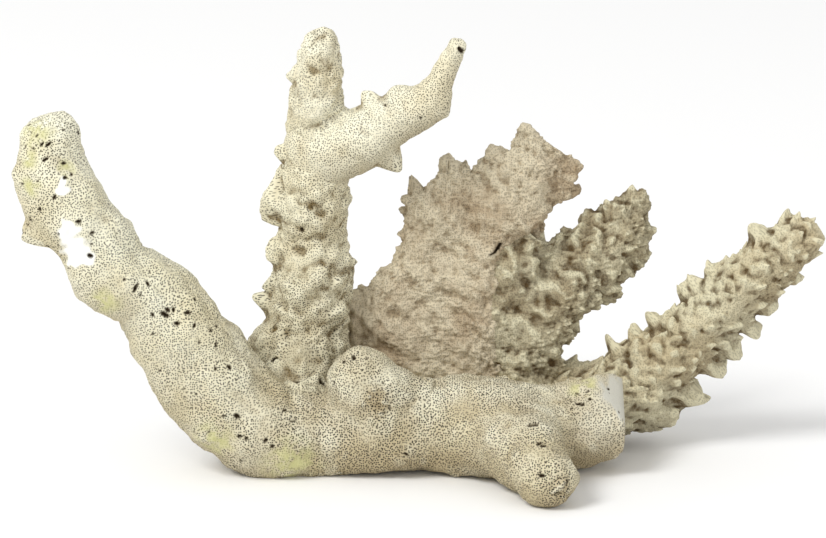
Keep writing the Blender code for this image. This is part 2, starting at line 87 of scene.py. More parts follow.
# Slots bored in the arm and the trunk: across, down, half width, half length, depth in mm and slant in
# degrees. They are bored at SLOT_SCALE, because the painted shade in a slot spreads to its rim.
SLOT_SCALE = 0.85
BORED_SLOTS = (
    (48.6, 144.4, 0.8, 2.4, 1.2, 35), (41.8, 144.8, 0.7, 1.3, 0.8, 45), (25.5, 146.4, 0.8, 0.8, 0.8, 0),
    (45.5, 160, 0.7, 1.6, 0.9, 35), (63.8, 178.4, 0.8, 2.0, 1.2, 0), (63.8, 162.8, 0.7, 1.1, 0.8, 10),
    (54.2, 197.9, 0.7, 1.5, 0.9, 60), (39.4, 209.5, 0.9, 2.1, 1.4, 45), (31.9, 219, 0.9, 1.6, 1.2, 80),
    (34, 229.5, 0.9, 1.8, 1.4, 30), (25.5, 232, 0.9, 1.3, 1.0, 20), (58.7, 234, 0.7, 2.5, 1.0, 65),
    (51, 246.8, 1.1, 1.7, 1.5, 120), (78.5, 221, 1.1, 1.1, 1.4, 0), (91, 232, 0.9, 1.4, 1.1, 30),
    (89.8, 256, 1.1, 1.3, 1.4, 30), (69.4, 268, 0.7, 2.0, 0.7, 40), (135.6, 288, 0.8, 2.6, 1.8, 48),
    (148, 283, 0.7, 1.6, 1.0, 120), (165.9, 315.6, 1.1, 2.8, 1.8, 0), (188.5, 312.7, 0.9, 2.2, 1.5, 5),
    (177.8, 323.4, 1.1, 1.6, 1.5, 0), (194.6, 325.5, 1.0, 1.4, 0.9, 60), (210, 331, 0.9, 1.2, 1.1, 0),
    (231, 367, 1.0, 1.5, 1.6, 0), (237, 416, 0.9, 1.5, 1.4, 0), (224, 416, 0.8, 1.5, 1.1, 10),
    (240, 436, 1.0, 1.4, 1.6, 0), (246, 437, 1.0, 1.2, 1.6, 0), (266, 440, 1.1, 1.4, 1.4, 0),
    (329, 453, 1.0, 1.4, 1.4, 20), (284, 411, 0.8, 1.4, 1.0, 0), (407, 380, 1.0, 1.6, 1.4, 0),
    (437, 390, 0.8, 1.2, 1.2, 0), (458, 405, 0.9, 1.2, 1.2, 0), (450, 427, 0.8, 1.2, 1.2, 0),
    (428, 440, 0.8, 1.2, 1.2, 0), (498, 402, 0.9, 1.2, 1.3, 0), (492, 411, 0.9, 1.2, 1.3, 0),
    (504, 412, 0.9, 1.2, 1.3, 0), (529, 412, 1.0, 1.2, 1.3, 0), (590, 398, 0.9, 1.2, 1.0, 0),
    (578, 402, 0.9, 1.2, 1.0, 0), (277, 368, 1.5, 2.6, 2.4, 130), (299, 383, 1.4, 3.2, 2.4, 160),
    (323, 390, 1.2, 2.6, 2.0, 35), (293, 421, 0.6, 2.6, 0.9, 20), (583, 404, 0.7, 1.2, 0.8, 0),
    (572, 408, 0.6, 1.0, 0.6, 30), (588, 390, 0.6, 1.0, 0.6, 30), (616, 386, 0.4, 2.2, 0.5, 120),
)
# Swellings: across, down, half width and height in mm, and the direction that they swell in, in degrees in
# the picture, or None for straight at the camera.
SWOLLEN_PLACES = (
    (36, 236, 6.0, 5.2, 205), (18, 172, 4.0, 1.4, 185), (75, 174, 6.0, 0.9, 40), (62, 160, 6.0, -0.9, None),
    (120, 275, 6.0, 0.8, 60), (290, 416, 3.4, 0.9, None), (224, 416, 3.0, 0.9, None),
    (535, 428, 5.0, 0.6, None), (130, 224, 3.5, 0.9, 45), (448, 377, 4.6, 0.9, None),
    (448, 377, 3.2, -1.1, None), (127, 282, 3.2, 0.9, None),
)
# Patches with a painted highlight in white, and patches green with dried algae: across, down and half
# width in mm.
HIGHLIGHT_PLACES = ((75, 243, 5.6), (68, 232, 5.0), (84, 254, 4.6), (72, 256, 4.6), (64, 190, 2.6), (62, 183, 2.0))
GREEN_PLACES = (
    (30, 185, 5.0), (106, 303, 7.0), (66, 170, 4.0), (36, 130, 8.0), (290, 466, 13.0), (470, 380, 9.0),
    (28, 160, 5.0), (215, 440, 9.0), (585, 385, 7.0),
)
# The painted highlights' edge: how ragged it is, how sharp, and the share that stays without it.
HIGHLIGHT_RAGGED = 0.13
HIGHLIGHT_SHARPNESS = 2.6
HIGHLIGHT_START = 0.4
# Reliefs, here and in the sections below: pairs of wave length and height in mm.
LIMB_RELIEFS = ((34, 0.55), (14, 0.42), (6, 0.16), (2.6, 0.07))
# A rough scar on the trunk and the knob: across, down and half width in mm, the height of its waves, how
# deep it lies, and how brown and stained it is.
TRUNK_SCAR = (378, 403, 7.0)
SCAR_HEIGHT = 0.9
SCAR_SINK = 0.7
SCAR_BROWN = 0.75
SCAR_STAIN = 0.3
# What is painted on each point: painted shade and light by how far it stands above its surroundings,
# painted shade in holes, a painted highlight and worn bare places, algae, painted shade on undersides,
# and painted shade with the scar's stain.
PAINTED_LAYERS = ("relief_shade_and_light", "hole", "worn", "green", "under", "shade_and_stain")
# How far the painted shade in a hole spreads to its rim.
HOLE_SHADE_SPREAD = 2.2
# Painted shade on undersides begins where a normal points up less than this.
UNDERSIDE_SHADE_BELOW = 0.2
# Painted shade sets in along the arm towards the trunk and fades out upward, in mm.
SHADE_FROM_X = -70
SHADE_OVER_X = 60
SHADE_BELOW_Z = 75
SHADE_OVER_Z = 50
# How far points wander in mm where a bump is measured, and over what length.
WANDER = 0.3
WANDER_LENGTH = 6.0
# The painted shade and light from the relief: how many grid points round a point count, the mm that
# count as one, and how many rows ahead the ground is compared, at what weight.
RISE_REACHES = (4, 10)
RISE_SCALE = 1.6
ROWS_AHEAD = 5
AHEAD_WEIGHT = 0.7
# Shift in mm from one pore chart to the next.
CHART_SHIFT = 13.7


def smooth_route(stations, step=ROUTE_STEP):
    """A Catmull-Rom curve through the stations (x, y, z, radius), then even places along its length."""
    stations = np.array(stations, float)
    before = 2 * stations[:1] - stations[1:2]
    after = 2 * stations[-1:] - stations[-2:-1]
    knots = np.vstack([before, stations, after])
    a, b, c, d = (knots[k : len(knots) - 3 + k][:, None] for k in range(4))
    t = np.linspace(0, 1, 24, endpoint=False)[:, None]
    curve = 0.5 * (2 * b + (c - a) * t + (2 * a - 5 * b + 4 * c - d) * t**2 + (3 * b - a - 3 * c + d) * t**3)
    curve = np.vstack([curve.reshape(-1, stations.shape[1]), stations[-1:]])
    gaps = np.linalg.norm(np.diff(curve[:, :3], axis=0), axis=1)
    length = np.concatenate([[0], np.cumsum(gaps)])
    places = np.linspace(0, length[-1], round(length[-1] / step) + 1)
    return np.stack([np.interp(places, length, column) for column in curve.T], axis=1)


def from_balls(points, balls):
    """Signed distance to a string of balls: the least of the distance to a centre less its radius."""
    centres = balls[:, :3]
    square = (points**2).sum(-1)[..., None] - 2 * points @ centres.T + (centres**2).sum(-1)
    return (np.sqrt(np.maximum(square, 0)) - balls[:, 3]).min(-1)


def depth_in(points, own, carriers, fillet, tuck):
    """Distance to the branch's own balls, joined to each carrier's balls, shrunk by tuck, by the smooth
    minimum min(a, b) - fillet / 4 * (1 - |a - b| / fillet)^2, which leaves a fillet round the fork."""
    least = from_balls(points, own)
    for balls in carriers:
        other = from_balls(points, balls) + tuck
        near = np.maximum(1 - abs(least - other) / fillet, 0)
        least = np.minimum(least, other) - fillet / 4 * near**2
    return least


def unit(vectors):
    """The vectors at length one."""
    return vectors / np.maximum(np.linalg.norm(vectors, axis=-1, keepdims=True), 1e-9)


def fill_between(count, looped):
    """Catmull-Rom weights that put FINER - 1 new rows into each gap of count rows, round a loop or not."""
    places = np.arange(count * FINER if looped else (count - 1) * FINER + 1) / FINER
    base = np.floor(places).astype(int)
    t = places - base
    shares = (
        (-t + 2 * t**2 - t**3) / 2,
        (2 - 5 * t**2 + 3 * t**3) / 2,
        (t + 4 * t**2 - 3 * t**3) / 2,
        (t**3 - t**2) / 2,
    )
    weights = np.zeros((len(places), count))
    for offset, share in zip((-1, 0, 1, 2), shares):
        row = (base + offset) % count if looped else np.clip(base + offset, 0, count - 1)
        np.add.at(weights, (np.arange(len(places)), row), share)
    return weights


def finer_grid(coarse):
    """The coarse grid of points, made FINER times finer both ways by fill_between."""
    along = fill_between(coarse.shape[0], looped=False)
    around = fill_between(coarse.shape[1], looped=True)
    return np.einsum("ri,ijx,cj->rcx", along, coarse, around, optimize=True)


def facing(points):
    """Outward normals of a grid of closed rows: the cross product of its differences, mean at a pole."""
    along = np.gradient(points, axis=0)
    around = np.roll(points, -1, axis=1) - np.roll(points, 1, axis=1)
    normals = unit(np.cross(along, around))
    normals[0] = unit(normals[1].mean(0))
    normals[-1] = unit(normals[-2].mean(0))
    outward = (normals * (points - points.mean(1, keepdims=True))).sum()
    return normals if outward > 0 else -normals


def branch_skin(stations, columns, carriers=(), fillet=9.0, tuck=0.5, upright=(0, 1, 0)):
    """A tube round the route through the stations, closed by round caps. From each place on the centreline
    rays go out all round, and at the ends they swing on to the pole. Each ray steps outward by the depth
    that depth_in still gives, which never oversteps the skin. The grid is then made finer."""
    route = smooth_route(stations)
    centre = route[:, :3]
    ahead = unit(np.gradient(centre, axis=0))
    first = math.ceil(route[0, 3] * math.pi / 2 / ROUTE_STEP)
    last = math.ceil(route[-1, 3] * math.pi / 2 / ROUTE_STEP)
    swing = np.concatenate([
        np.linspace(-90, 0, first, endpoint=False),
        np.zeros(len(route)),
        np.linspace(90, 0, last, endpoint=False)[::-1],
    ])
    swing = np.radians(swing)[:, None, None]
    place = np.concatenate([np.zeros(first, int), np.arange(len(route)), np.full(last, len(route) - 1)])
    origin = centre[place][:, None]
    forward = ahead[place][:, None]
    side = unit(np.cross(upright, forward))
    front = np.cross(forward, side)
    angle = np.arange(columns)[None, :, None] * TURN / columns
    rays = np.cos(swing) * (np.cos(angle) * side + np.sin(angle) * front) + np.sin(swing) * forward
    longest = (1.5 * route[place, 3] + 4)[:, None]
    distance = np.zeros((len(place), columns))
    for _ in range(REACH_STEPS):
        depth = -depth_in(origin + distance[..., None] * rays, route, carriers, fillet, tuck)
        distance = np.clip(distance + depth, 0, longest)
    points = finer_grid(origin + distance[..., None] * rays)
    along = fill_between(len(place), looped=False) @ forward[:, 0]
    skin = new_skin(points, unit(along)[:, None])
    skin["route"] = route
    return skin


def new_skin(points, ahead):
    """A skin's record: its even surface, its growing direction, the lift to add, and the paint layers."""
    skin = {name: np.zeros(points.shape[:2]) for name in PAINTED_LAYERS}
    skin["even"] = points
    skin["out"] = facing(points)
    skin["ahead"] = ahead
    skin["lift"] = np.zeros_like(points)
    # Painted shade on undersides, and painted shade from the arm's tip towards the trunk and the ground.
    skin["under"] = np.clip(UNDERSIDE_SHADE_BELOW - skin["out"][..., 2], 0, 1)
    shaded_across = np.clip((points[..., 0] - SHADE_FROM_X) / SHADE_OVER_X, 0, 1)
    skin["shade_and_stain"] = shaded_across * np.clip((SHADE_BELOW_Z - points[..., 2]) / SHADE_OVER_Z, 0, 1)
    drift = [waves(points, WANDER_LENGTH, 200 + axis) for axis in range(3)]
    skin["wander"] = points + WANDER * np.stack(drift, axis=-1)
    return skin


def waves(points, length, seed, count=24):
    """Even random relief of size one: the sum of seeded plane waves of about that length."""
    random = np.random.default_rng(seed)
    direction = unit(random.normal(size=(count, 3)))
    direction *= random.uniform(0.7, 1.4, (count, 1)) / length
    phase = random.uniform(0, TURN, count)
    return np.cos(points @ direction.T * TURN + phase).sum(-1) * math.sqrt(2 / count)


def roughen(skin, reliefs, seed):
    """Waves of each (length, height) in mm lift the skin along its normal."""
    for step, (length, height) in enumerate(reliefs):
        lift = waves(skin["even"], length, seed + step) * height
        skin["lift"] += lift[..., None] * skin["out"]


def in_picture(degrees):
    """The direction at that angle in the plane of the picture: 0 is to the right and 90 is up."""
    angle = math.radians(degrees)
    return math.cos(angle) * np.array([1.0, 0.0, 0.0]) + math.sin(angle) * VIEW_UP


def swell(skin, row, column, width, length=None, slant=0):
    """The share that a bump takes in each point: (1 - q^2)^2, where q is the distance from its middle over
    its width, on the side that faces the same way. A length above the width draws it out along its slant.
    The distance is measured between wandering points, so that no bump is quite round."""
    away = skin["wander"] - skin["wander"][row, column]
    if length:
        along = in_picture(slant)
        away = away - (1 - width / length) * (away @ along)[..., None] * along
    left = np.maximum(1 - (away**2).sum(-1) / width**2, 0)
    same_side = np.clip(2 * (skin["out"] @ skin["out"][row, column]), 0, 1)
    return left**2 * same_side


def seen_from_front(points):
    """Where the camera sees the points, in picture units across and down."""
    away = points - VIEW_EYE
    scale = VIEW_DISTANCE / VIEW_UNIT / (away @ VIEW_AHEAD)
    across = VIEW_CENTRE[0] + away[..., 0] * scale
    down = VIEW_CENTRE[1] - (away @ VIEW_UP) * scale
    return across, down


def spot(skin, across, down):
    """Row and column of the skin's point nearest to a place in the picture, on the side seen there."""
    seen_across, seen_down = seen_from_front(skin["even"])
    off = (seen_across - across) ** 2 + (seen_down - down) ** 2
    off += 1e6 * (skin["out"] @ VIEW_AHEAD > 0)
    return np.unravel_index(off.argmin(), off.shape)


def lift_bump(skin, row, column, width, height, towards=None, length=None, slant=0):
    """A bump of that width and height, raised along its own normal or in the direction given."""
    share = swell(skin, row, column, width, length, slant)
    direction = skin["out"][row, column] if towards is None else towards
    skin["lift"] += (height * share)[..., None] * direction
    return share


def bore(skin, row, column, width, depth, length=None, slant=0):
    """A hole sunk into the skin, with its inside marked for painted shade."""
    share = lift_bump(skin, row, column, width, -depth, length=length, slant=slant)
    skin["hole"] = np.maximum(skin["hole"], np.minimum(HOLE_SHADE_SPREAD * share, 1))


def bore_slots(skin, slots, scale=1.0):
    """A hole for each slot given, its half width and half length at that scale."""
    for across, down, width, length, depth, slant in slots:
        bore(skin, *spot(skin, across, down), scale * width, depth, scale * length, slant)


def stray_holes(skin, count, widths, depths, spared, seed):
    """Holes at seeded random places, between two widths and two depths in mm. Some rows at the root and at
    the tip are spared."""
    random = np.random.default_rng(seed)
    for _ in range(count):
        row = random.integers(spared[0], len(skin["even"]) - spared[1])
        column = random.integers(skin["even"].shape[1])
        bore(skin, row, column, random.uniform(*widths), random.uniform(*depths))


def softened(values, reach):
    """Each value replaced by the mean of the square of reach points each way round it."""
    for _ in range(2):
        padded = np.pad(values, ((reach + 1, reach), (0, 0)), mode="edge")
        sums = np.cumsum(padded, axis=0)
        values = ((sums[2 * reach + 1 :] - sums[: -2 * reach - 1]) / (2 * reach + 1)).T
    return values


def finished(skin):
    """The lifted surface, cut off flat at the ground. Its layer of painted shade and light tells how far each
    point stands above the mean of its surroundings, near and wide, and above the ground just ahead of it
    towards the tip: painted shade falls in hollows and beneath each lump, and painted light on crests."""
    height = (skin["lift"] * skin["out"]).sum(-1)
    skin["relief_shade_and_light"] = sum(height - softened(height, reach) for reach in RISE_REACHES) / RISE_SCALE
    ahead = np.vstack([height[ROWS_AHEAD:], np.repeat(height[-1:], ROWS_AHEAD, axis=0)])
    skin["relief_shade_and_light"] += AHEAD_WEIGHT * softened(height - ahead, 1)
    points = skin["even"] + skin["lift"]
    points[..., 2] = np.maximum(points[..., 2], 0)
    return points


def layers_of(skin, rows=slice(None)):
    """The paint layers and the even normals of some rows of a skin."""
    return {name: skin[name][rows] for name in (*PAINTED_LAYERS, "out")}


def pore_map(places, normals, quads):
    """Flat places in mm for each corner of each quad, for a pattern that must not stretch: the point seen
    along the nearest of 26 even directions to the quad's normal, each with a shift of its own."""
    grid = np.stack(np.meshgrid(*[(-1, 0, 1)] * 3), axis=-1).reshape(-1, 3)
    directions = unit(grid[abs(grid).sum(1) > 0].astype(float))
    chosen = (normals[quads].mean(1) @ directions.T).argmax(1)
    helper = np.where(abs(directions[:, 2:]) > 0.9, [[1.0, 0.0, 0.0]], [[0.0, 0.0, 1.0]])
    first = unit(np.cross(helper, directions))
    second = np.cross(directions, first)
    corners = places[quads]
    across = (corners * first[chosen][:, None]).sum(-1) + chosen[:, None] * CHART_SHIFT
    up = (corners * second[chosen][:, None]).sum(-1)
    return np.stack([across, up], axis=-1)


def scar(skin, across, down, width):
    """A rough nodular patch: the size of short waves, less its sink, times the root of the bump's share. It
    is brown in its middle, and its waves are the same on every piece that it crosses."""
    share = np.sqrt(swell(skin, *spot(skin, across, down), width))
    nodules = SCAR_HEIGHT * abs(waves(skin["even"], length=3.6, seed=33)) - SCAR_SINK
    skin["lift"] += (share * nodules)[..., None] * skin["out"]
    skin["under"] = np.maximum(skin["under"], SCAR_BROWN * share)
    skin["shade_and_stain"] += SCAR_STAIN * share


def skin_object(name, points, layers, material, closed_by_disc=(False, False)):
    """A mesh from a grid of closed rows: quads between the rows, a flat disc of triangles over an open end,
    and poles or slits closed by merging. Its faces are turned outward by the sign of its volume."""
    rows, columns = points.shape[:2]
    index = np.arange(rows * columns).reshape(rows, columns)
    beside = np.roll(index, -1, axis=1)
    quads = np.stack([index[:-1], beside[:-1], beside[1:], index[1:]], axis=-1).reshape(-1, 4)
    places = points.reshape(-1, 3)
    charts = pore_map(places, layers["out"].reshape(-1, 3), quads)
    values = {key: layers[key].reshape(-1) for key in PAINTED_LAYERS}
    discs = []
    for end, wanted in zip((0, -1), closed_by_disc):
        if wanted:
            hub = np.full(columns, len(places))
            edge = (index[end], beside[end]) if end else (beside[end], index[end])
            discs.append(np.stack([*edge, hub], axis=-1))
            places = np.vstack([places, points[end].mean(0)])
            values = {key: np.append(value, layers[key][end].mean()) for key, value in values.items()}
    discs = np.vstack(discs) if discs else np.zeros((0, 3), int)
    a, b, c, d = (places[quads[:, k]] for k in range(4))
    volume = (a * np.cross(b, c)).sum() + (a * np.cross(c, d)).sum()
    if volume < 0:
        quads = quads[:, ::-1]
        charts = charts[:, ::-1]
        discs = discs[:, ::-1]
    mesh = bpy.data.meshes.new(name)
    mesh.vertices.add(len(places))
    mesh.vertices.foreach_set("co", (places * MM).astype(np.float32).ravel())
    mesh.loops.add(quads.size + discs.size)
    mesh.loops.foreach_set("vertex_index", np.concatenate([quads.ravel(), discs.ravel()]).astype(np.int32))
    starts = np.concatenate([np.arange(len(quads)) * 4, quads.size + np.arange(len(discs)) * 3])
    mesh.polygons.add(len(starts))
    mesh.polygons.foreach_set("loop_start", starts.astype(np.int32))
    mesh.polygons.foreach_set("use_smooth", np.arange(len(starts)) < len(quads))
    for key, value in values.items():
        layer = mesh.attributes.new(key, "FLOAT", "POINT")
        layer.data.foreach_set("value", value.astype(np.float32))
    pore_places = np.concatenate([charts.ravel(), np.zeros(2 * discs.size)])
    mesh.uv_layers.new(name="pores").uv.foreach_set("vector", pore_places.astype(np.float32))
    mesh.update(calc_edges=True)
    work = bmesh.new()
    work.from_mesh(mesh)
    bmesh.ops.remove_doubles(work, verts=work.verts, dist=MERGE_WITHIN * MM)
    work.to_mesh(mesh)
    work.free()
    piece = bpy.data.objects.new(name, mesh)
    bpy.context.scene.collection.objects.link(piece)
    mesh.materials.append(material)
    return piece


def srgb(red, green, blue):
    """A colour given as 0 to 255 display values, turned into linear light."""
    shown = np.array([red, green, blue]) / 255
    linear = np.where(shown <= 0.04045, shown / 12.92, ((shown + 0.055) / 1.055) ** 2.4)
    return (*linear.tolist(), 1)


PORE_BROWN = srgb(28, 20, 10)
ALGAE_GREEN = srgb(204, 201, 146)
FACET_GREY = srgb(200, 200, 192)
# Painted shade in holes: the dark brown of a hole's inside.
HOLE_SHADE_BROWN = srgb(52, 40, 24)
# White of the painted highlight on the arm.
HIGHLIGHT_WHITE = (0.97, 0.97, 0.92, 1)
CORAL_ROUGHNESS = 0.9
CORAL_SHEEN = 0.25
# Pores: how far they stray from an even net, how ragged their rim is, how much the painted shade and
# stain widen them, and the two distances from a pore's middle, in shares of the gap, between which it
# fades out.
PORE_STRAY = 0.78
PORE_RAGGED = 0.22
PORE_WIDENED = 0.07
PORE_RIM = (0.32, 0.41)
# Share of painted shade on undersides.
UNDERSIDE_SHADE = 0.5
FLECKS = 0.35
GRAIN = 0.5


def coral_material(
    name, pale, warm, shade_and_stain_brown, pores, valley_shade, pore_gap=0.72, depth=0.09, shaded_and_stained=0.3, crest_light_share=0.4, highlight_and_bare=HIGHLIGHT_WHITE
):
    """Chalky coral. Clouds of noise mix the pale and warm colours. Painted shade in low ground and on
    undersides goes to the dark brown colour, as does the layer of painted shade and stain, and painted
    light on high ground goes to the pale one. Cell noise pricks the pores, and the painted layers add
    painted shade in holes, the colour given for the painted highlight and worn bare places, and green. The
    four shares, in the order given, weigh the pores, painted shade in low ground, painted shade and stain,
    and painted light on high ground. pore_gap is the mm between pores, and depth the mm of bump."""
    pale, warm, shade_and_stain_brown = (srgb(*shade) for shade in (pale, warm, shade_and_stain_brown))
    material = bpy.data.materials.new(name)
    material.use_nodes = True
    nodes = material.node_tree.nodes
    links = material.node_tree.links
    shader = nodes["Principled BSDF"]
    shader.inputs["Roughness"].default_value = CORAL_ROUGHNESS
    shader.inputs["Specular IOR Level"].default_value = CORAL_SHEEN
    place = nodes.new("ShaderNodeTexCoord").outputs["Object"]

    def noise(cell_mm, detail=4.0, roughness=0.6):
        texture = nodes.new("ShaderNodeTexNoise")
        texture.inputs["Scale"].default_value = 1 / (cell_mm * MM)
        texture.inputs["Detail"].default_value = detail
        texture.inputs["Roughness"].default_value = roughness
        links.new(place, texture.inputs["Vector"])
        return texture.outputs["Fac"]

    def painted(layer):
        attribute = nodes.new("ShaderNodeAttribute")
        attribute.attribute_name = layer
        return attribute.outputs["Fac"]

    def spread(value, low, high, to_low=0.0, to_high=1.0):
        span = nodes.new("ShaderNodeMapRange")
        span.interpolation_type = "SMOOTHSTEP"
        for socket, number in zip(("From Min", "From Max", "To Min", "To Max"), (low, high, to_low, to_high)):
            span.inputs[socket].default_value = number
        links.new(value, span.inputs["Value"])
        return span.outputs["Result"]

    def reckon(operation, first, second, clamp=False):
        result = nodes.new("ShaderNodeMath")
        result.operation = operation
        result.use_clamp = clamp
        for socket, value in zip(result.inputs, (first, second)):
            if isinstance(value, (int, float)):
                socket.default_value = value
            else:
                links.new(value, socket)
        return result.outputs["Value"]

    def times(first, second, clamp=False):
        return reckon("MULTIPLY", first, second, clamp)

    def blend(share, below, above):
        mix = nodes.new("ShaderNodeMix")
        mix.data_type = "RGBA"
        links.new(share, mix.inputs[0])
        for socket, colour in zip((mix.inputs[6], mix.inputs[7]), (below, above)):
            if isinstance(colour, tuple):
                socket.default_value = colour
            else:
                links.new(colour, socket)
        return mix.outputs[2]

    pore_place = nodes.new("ShaderNodeUVMap")
    pore_place.uv_map = "pores"
    cells = nodes.new("ShaderNodeTexVoronoi")
    cells.voronoi_dimensions = "2D"
    cells.inputs["Scale"].default_value = 1 / pore_gap
    cells.inputs["Randomness"].default_value = PORE_STRAY
    links.new(pore_place.outputs["UV"], cells.inputs["Vector"])
    # Painted shade towards the trunk, the ground and over the fan, with the scar's stain.
    shade_and_stain = times(painted("shade_and_stain"), shaded_and_stained)
    from_middle = reckon("ADD", cells.outputs["Distance"], times(noise(1.1, 3), PORE_RAGGED))
    from_middle = reckon("SUBTRACT", from_middle, times(shade_and_stain, PORE_WIDENED))
    pore = spread(from_middle, *PORE_RIM, 1.0, 0.0)
    pore = times(pore, spread(noise(9), 0.3, 0.55, 0.5, 1.0))
    pore = times(pore, reckon("SUBTRACT", 1.0, painted("worn"), clamp=True))
    # Painted shade in hollows, beneath lumps and on undersides, with the scar's brown, and painted light on
    # crests.
    shade_and_scar_brown = spread(painted("relief_shade_and_light"), -1.5, 0.1, valley_shade, 0.0)
    shade_and_scar_brown = times(shade_and_scar_brown, spread(noise(3.5, 6), 0.25, 0.65, 0.4, 1.4), clamp=True)
    shade_and_scar_brown = reckon("MAXIMUM", shade_and_scar_brown, times(painted("under"), UNDERSIDE_SHADE))
    crest_light = spread(painted("relief_shade_and_light"), 0.3, 1.5, 0.0, crest_light_share)
    flecks = times(spread(noise(1.6, 5, 0.7), 0.42, 0.75), FLECKS)
    clouded_shade_and_stain = times(shade_and_stain, spread(noise(12, 4), 0.3, 0.62, 0.35, 1.0))
    algae = times(painted("green"), spread(noise(4), 0.35, 0.6))
    colour = blend(spread(noise(22, 3), 0.35, 0.68), pale, warm)
    # Over the clouds: flecks, painted shade and stain, painted shade, painted light, pores, algae, the
    # painted highlight and worn bare places, and painted shade in holes.
    for share, above in (
        (flecks, warm),
        (clouded_shade_and_stain, shade_and_stain_brown),
        (shade_and_scar_brown, shade_and_stain_brown),
        (crest_light, pale),
        (times(pore, pores), PORE_BROWN),
        (algae, ALGAE_GREEN),
        (painted("worn"), highlight_and_bare),
        (painted("hole"), HOLE_SHADE_BROWN),
    ):
        colour = blend(share, colour, above)
    links.new(colour, shader.inputs["Base Color"])
    bump = nodes.new("ShaderNodeBump")
    bump.inputs["Distance"].default_value = depth * MM
    bump.inputs["Strength"].default_value = 1.0
    links.new(reckon("SUBTRACT", times(noise(0.9, 5, 0.7), GRAIN), pore), bump.inputs["Height"])
    links.new(bump.outputs["Normal"], shader.inputs["Normal"])
    return material


def dress(piece, slot, *nodes):
    """The piece rides on the one body and stands for its solids. Its slot is not used."""
    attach(piece, "root")
    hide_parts(*nodes)


def cover(name, skin, material, slot, *nodes):
    """The whole skin, finished, as one dressed piece."""
    dress(skin_object(name, finished(skin), layers_of(skin), material), slot, *nodes)


SMOOTH_CORAL = coral_material(
    "smooth_coral", pale=(240, 237, 214), warm=(222, 214, 182), shade_and_stain_brown=(164, 146, 110),
    pores=0.95, valley_shade=0.35, pore_gap=0.76, shaded_and_stained=0.62,
)
WORN_CORAL = coral_material(
    "worn_coral", pale=(236, 232, 210), warm=(214, 204, 172), shade_and_stain_brown=(160, 140, 102),
    pores=0.75, valley_shade=0.35, pore_gap=0.76, shaded_and_stained=0.45, highlight_and_bare=FACET_GREY,
)
limb = branch_skin(LEFT_ARM + TRUNK + CUT_STUB, columns=56)
roughen(limb, LIMB_RELIEFS, seed=20)
for across, down, width, height, degrees in SWOLLEN_PLACES:
    towards = -VIEW_AHEAD if degrees is None else in_picture(degrees)
    lift_bump(limb, *spot(limb, across, down), width, height, towards)
# Painted highlight: white patches without pores on the brightest lit side of the arm.
ragged = HIGHLIGHT_RAGGED * waves(limb["even"], length=3.6, seed=31)
for across, down, width in HIGHLIGHT_PLACES:
    patch = swell(limb, *spot(limb, across, down), width)
    highlight = HIGHLIGHT_SHARPNESS * (patch + ragged * (patch > 0)) - HIGHLIGHT_START
    limb["worn"] = np.maximum(limb["worn"], np.clip(highlight, 0, 1))
for across, down, width in GREEN_PLACES:
    limb["green"] = np.maximum(limb["green"], swell(limb, *spot(limb, across, down), width))
bore_slots(limb, BORED_SLOTS, SLOT_SCALE)
stray_holes(limb, count=160, widths=(0.5, 0.9), depths=(0.5, 1.0), spared=(20, 20), seed=5)
scar(limb, *TRUNK_SCAR)
limb_points = finished(limb)
facet = unit(np.array(FACET_TOWARDS))
beyond = ((limb_points - FACET_CENTRE) @ facet - FACET_DEPTH) / FACET_ROUNDING
beyond = FACET_ROUNDING * np.logaddexp(0, beyond)
limb_points -= beyond[..., None] * facet
facet_wear = FACET_WEAR * beyond * (1 + FACET_UNEVEN * waves(limb_points, length=5, seed=32))
limb["worn"] = np.maximum(limb["worn"], np.clip(facet_wear, 0, FACET_WEAR_MOST))
short_of_end = (STUB_END_X - limb_points[..., 0]) / STUB_END_ROUNDING
limb_points[..., 0] = STUB_END_X - STUB_END_ROUNDING * np.logaddexp(0, short_of_end)
limb_points[..., 2] = np.maximum(limb_points[..., 2], 0)
middles = limb_points.mean(1)
arm_row = int(ARM_ENDS_AT * len(middles))
stub_row = int(np.argmax(middles[:, 0] > STUB_STARTS_AT_X))
for name, rows, slot, node, material, discs in (
    ("left_arm_skin", slice(0, arm_row + 1), "smooth_coral", "left_arm", SMOOTH_CORAL, (False, True)),
    ("trunk_skin", slice(arm_row, stub_row + 1), "smooth_coral", "trunk", SMOOTH_CORAL, (True, True)),
    ("cut_stub_skin", slice(stub_row, None), "worn_coral", "cut_stub", WORN_CORAL, (True, False)),
):
    part = skin_object(name, limb_points[rows], layers_of(limb, rows), material, discs)
    dress(part, slot, node)

# The knob is a short side branch that stopped growing, a rounded lump of the same smooth skeleton on top of
# the trunk, with a soft shoulder running down to its right.
TRUNK_KNOB = ((12, -1, 15, 12), (8.5, -4, 26, 11.2), (7, -5, 31.5, 10.6))
KNOB_SHOULDER = ((12, -4, 26, 10.8), (19, -3, 25, 9.8), (26, -2.5, 22.2, 9))
KNOB_RELIEFS = ((14, 0.3), (6, 0.14), (2.6, 0.06))
knob_carriers = (smooth_route(KNOB_SHOULDER), limb["route"])
knob = branch_skin(TRUNK_KNOB, columns=48, carriers=knob_carriers, fillet=4.5, upright=(1, 0, 0))
roughen(knob, KNOB_RELIEFS, seed=40)
stray_holes(knob, count=12, widths=(0.5, 0.9), depths=(0.6, 1.0), spared=(60, 0), seed=6)
scar(knob, *TRUNK_SCAR)
cover("trunk_knob_skin", knob, SMOOTH_CORAL, "smooth_coral", "trunk")

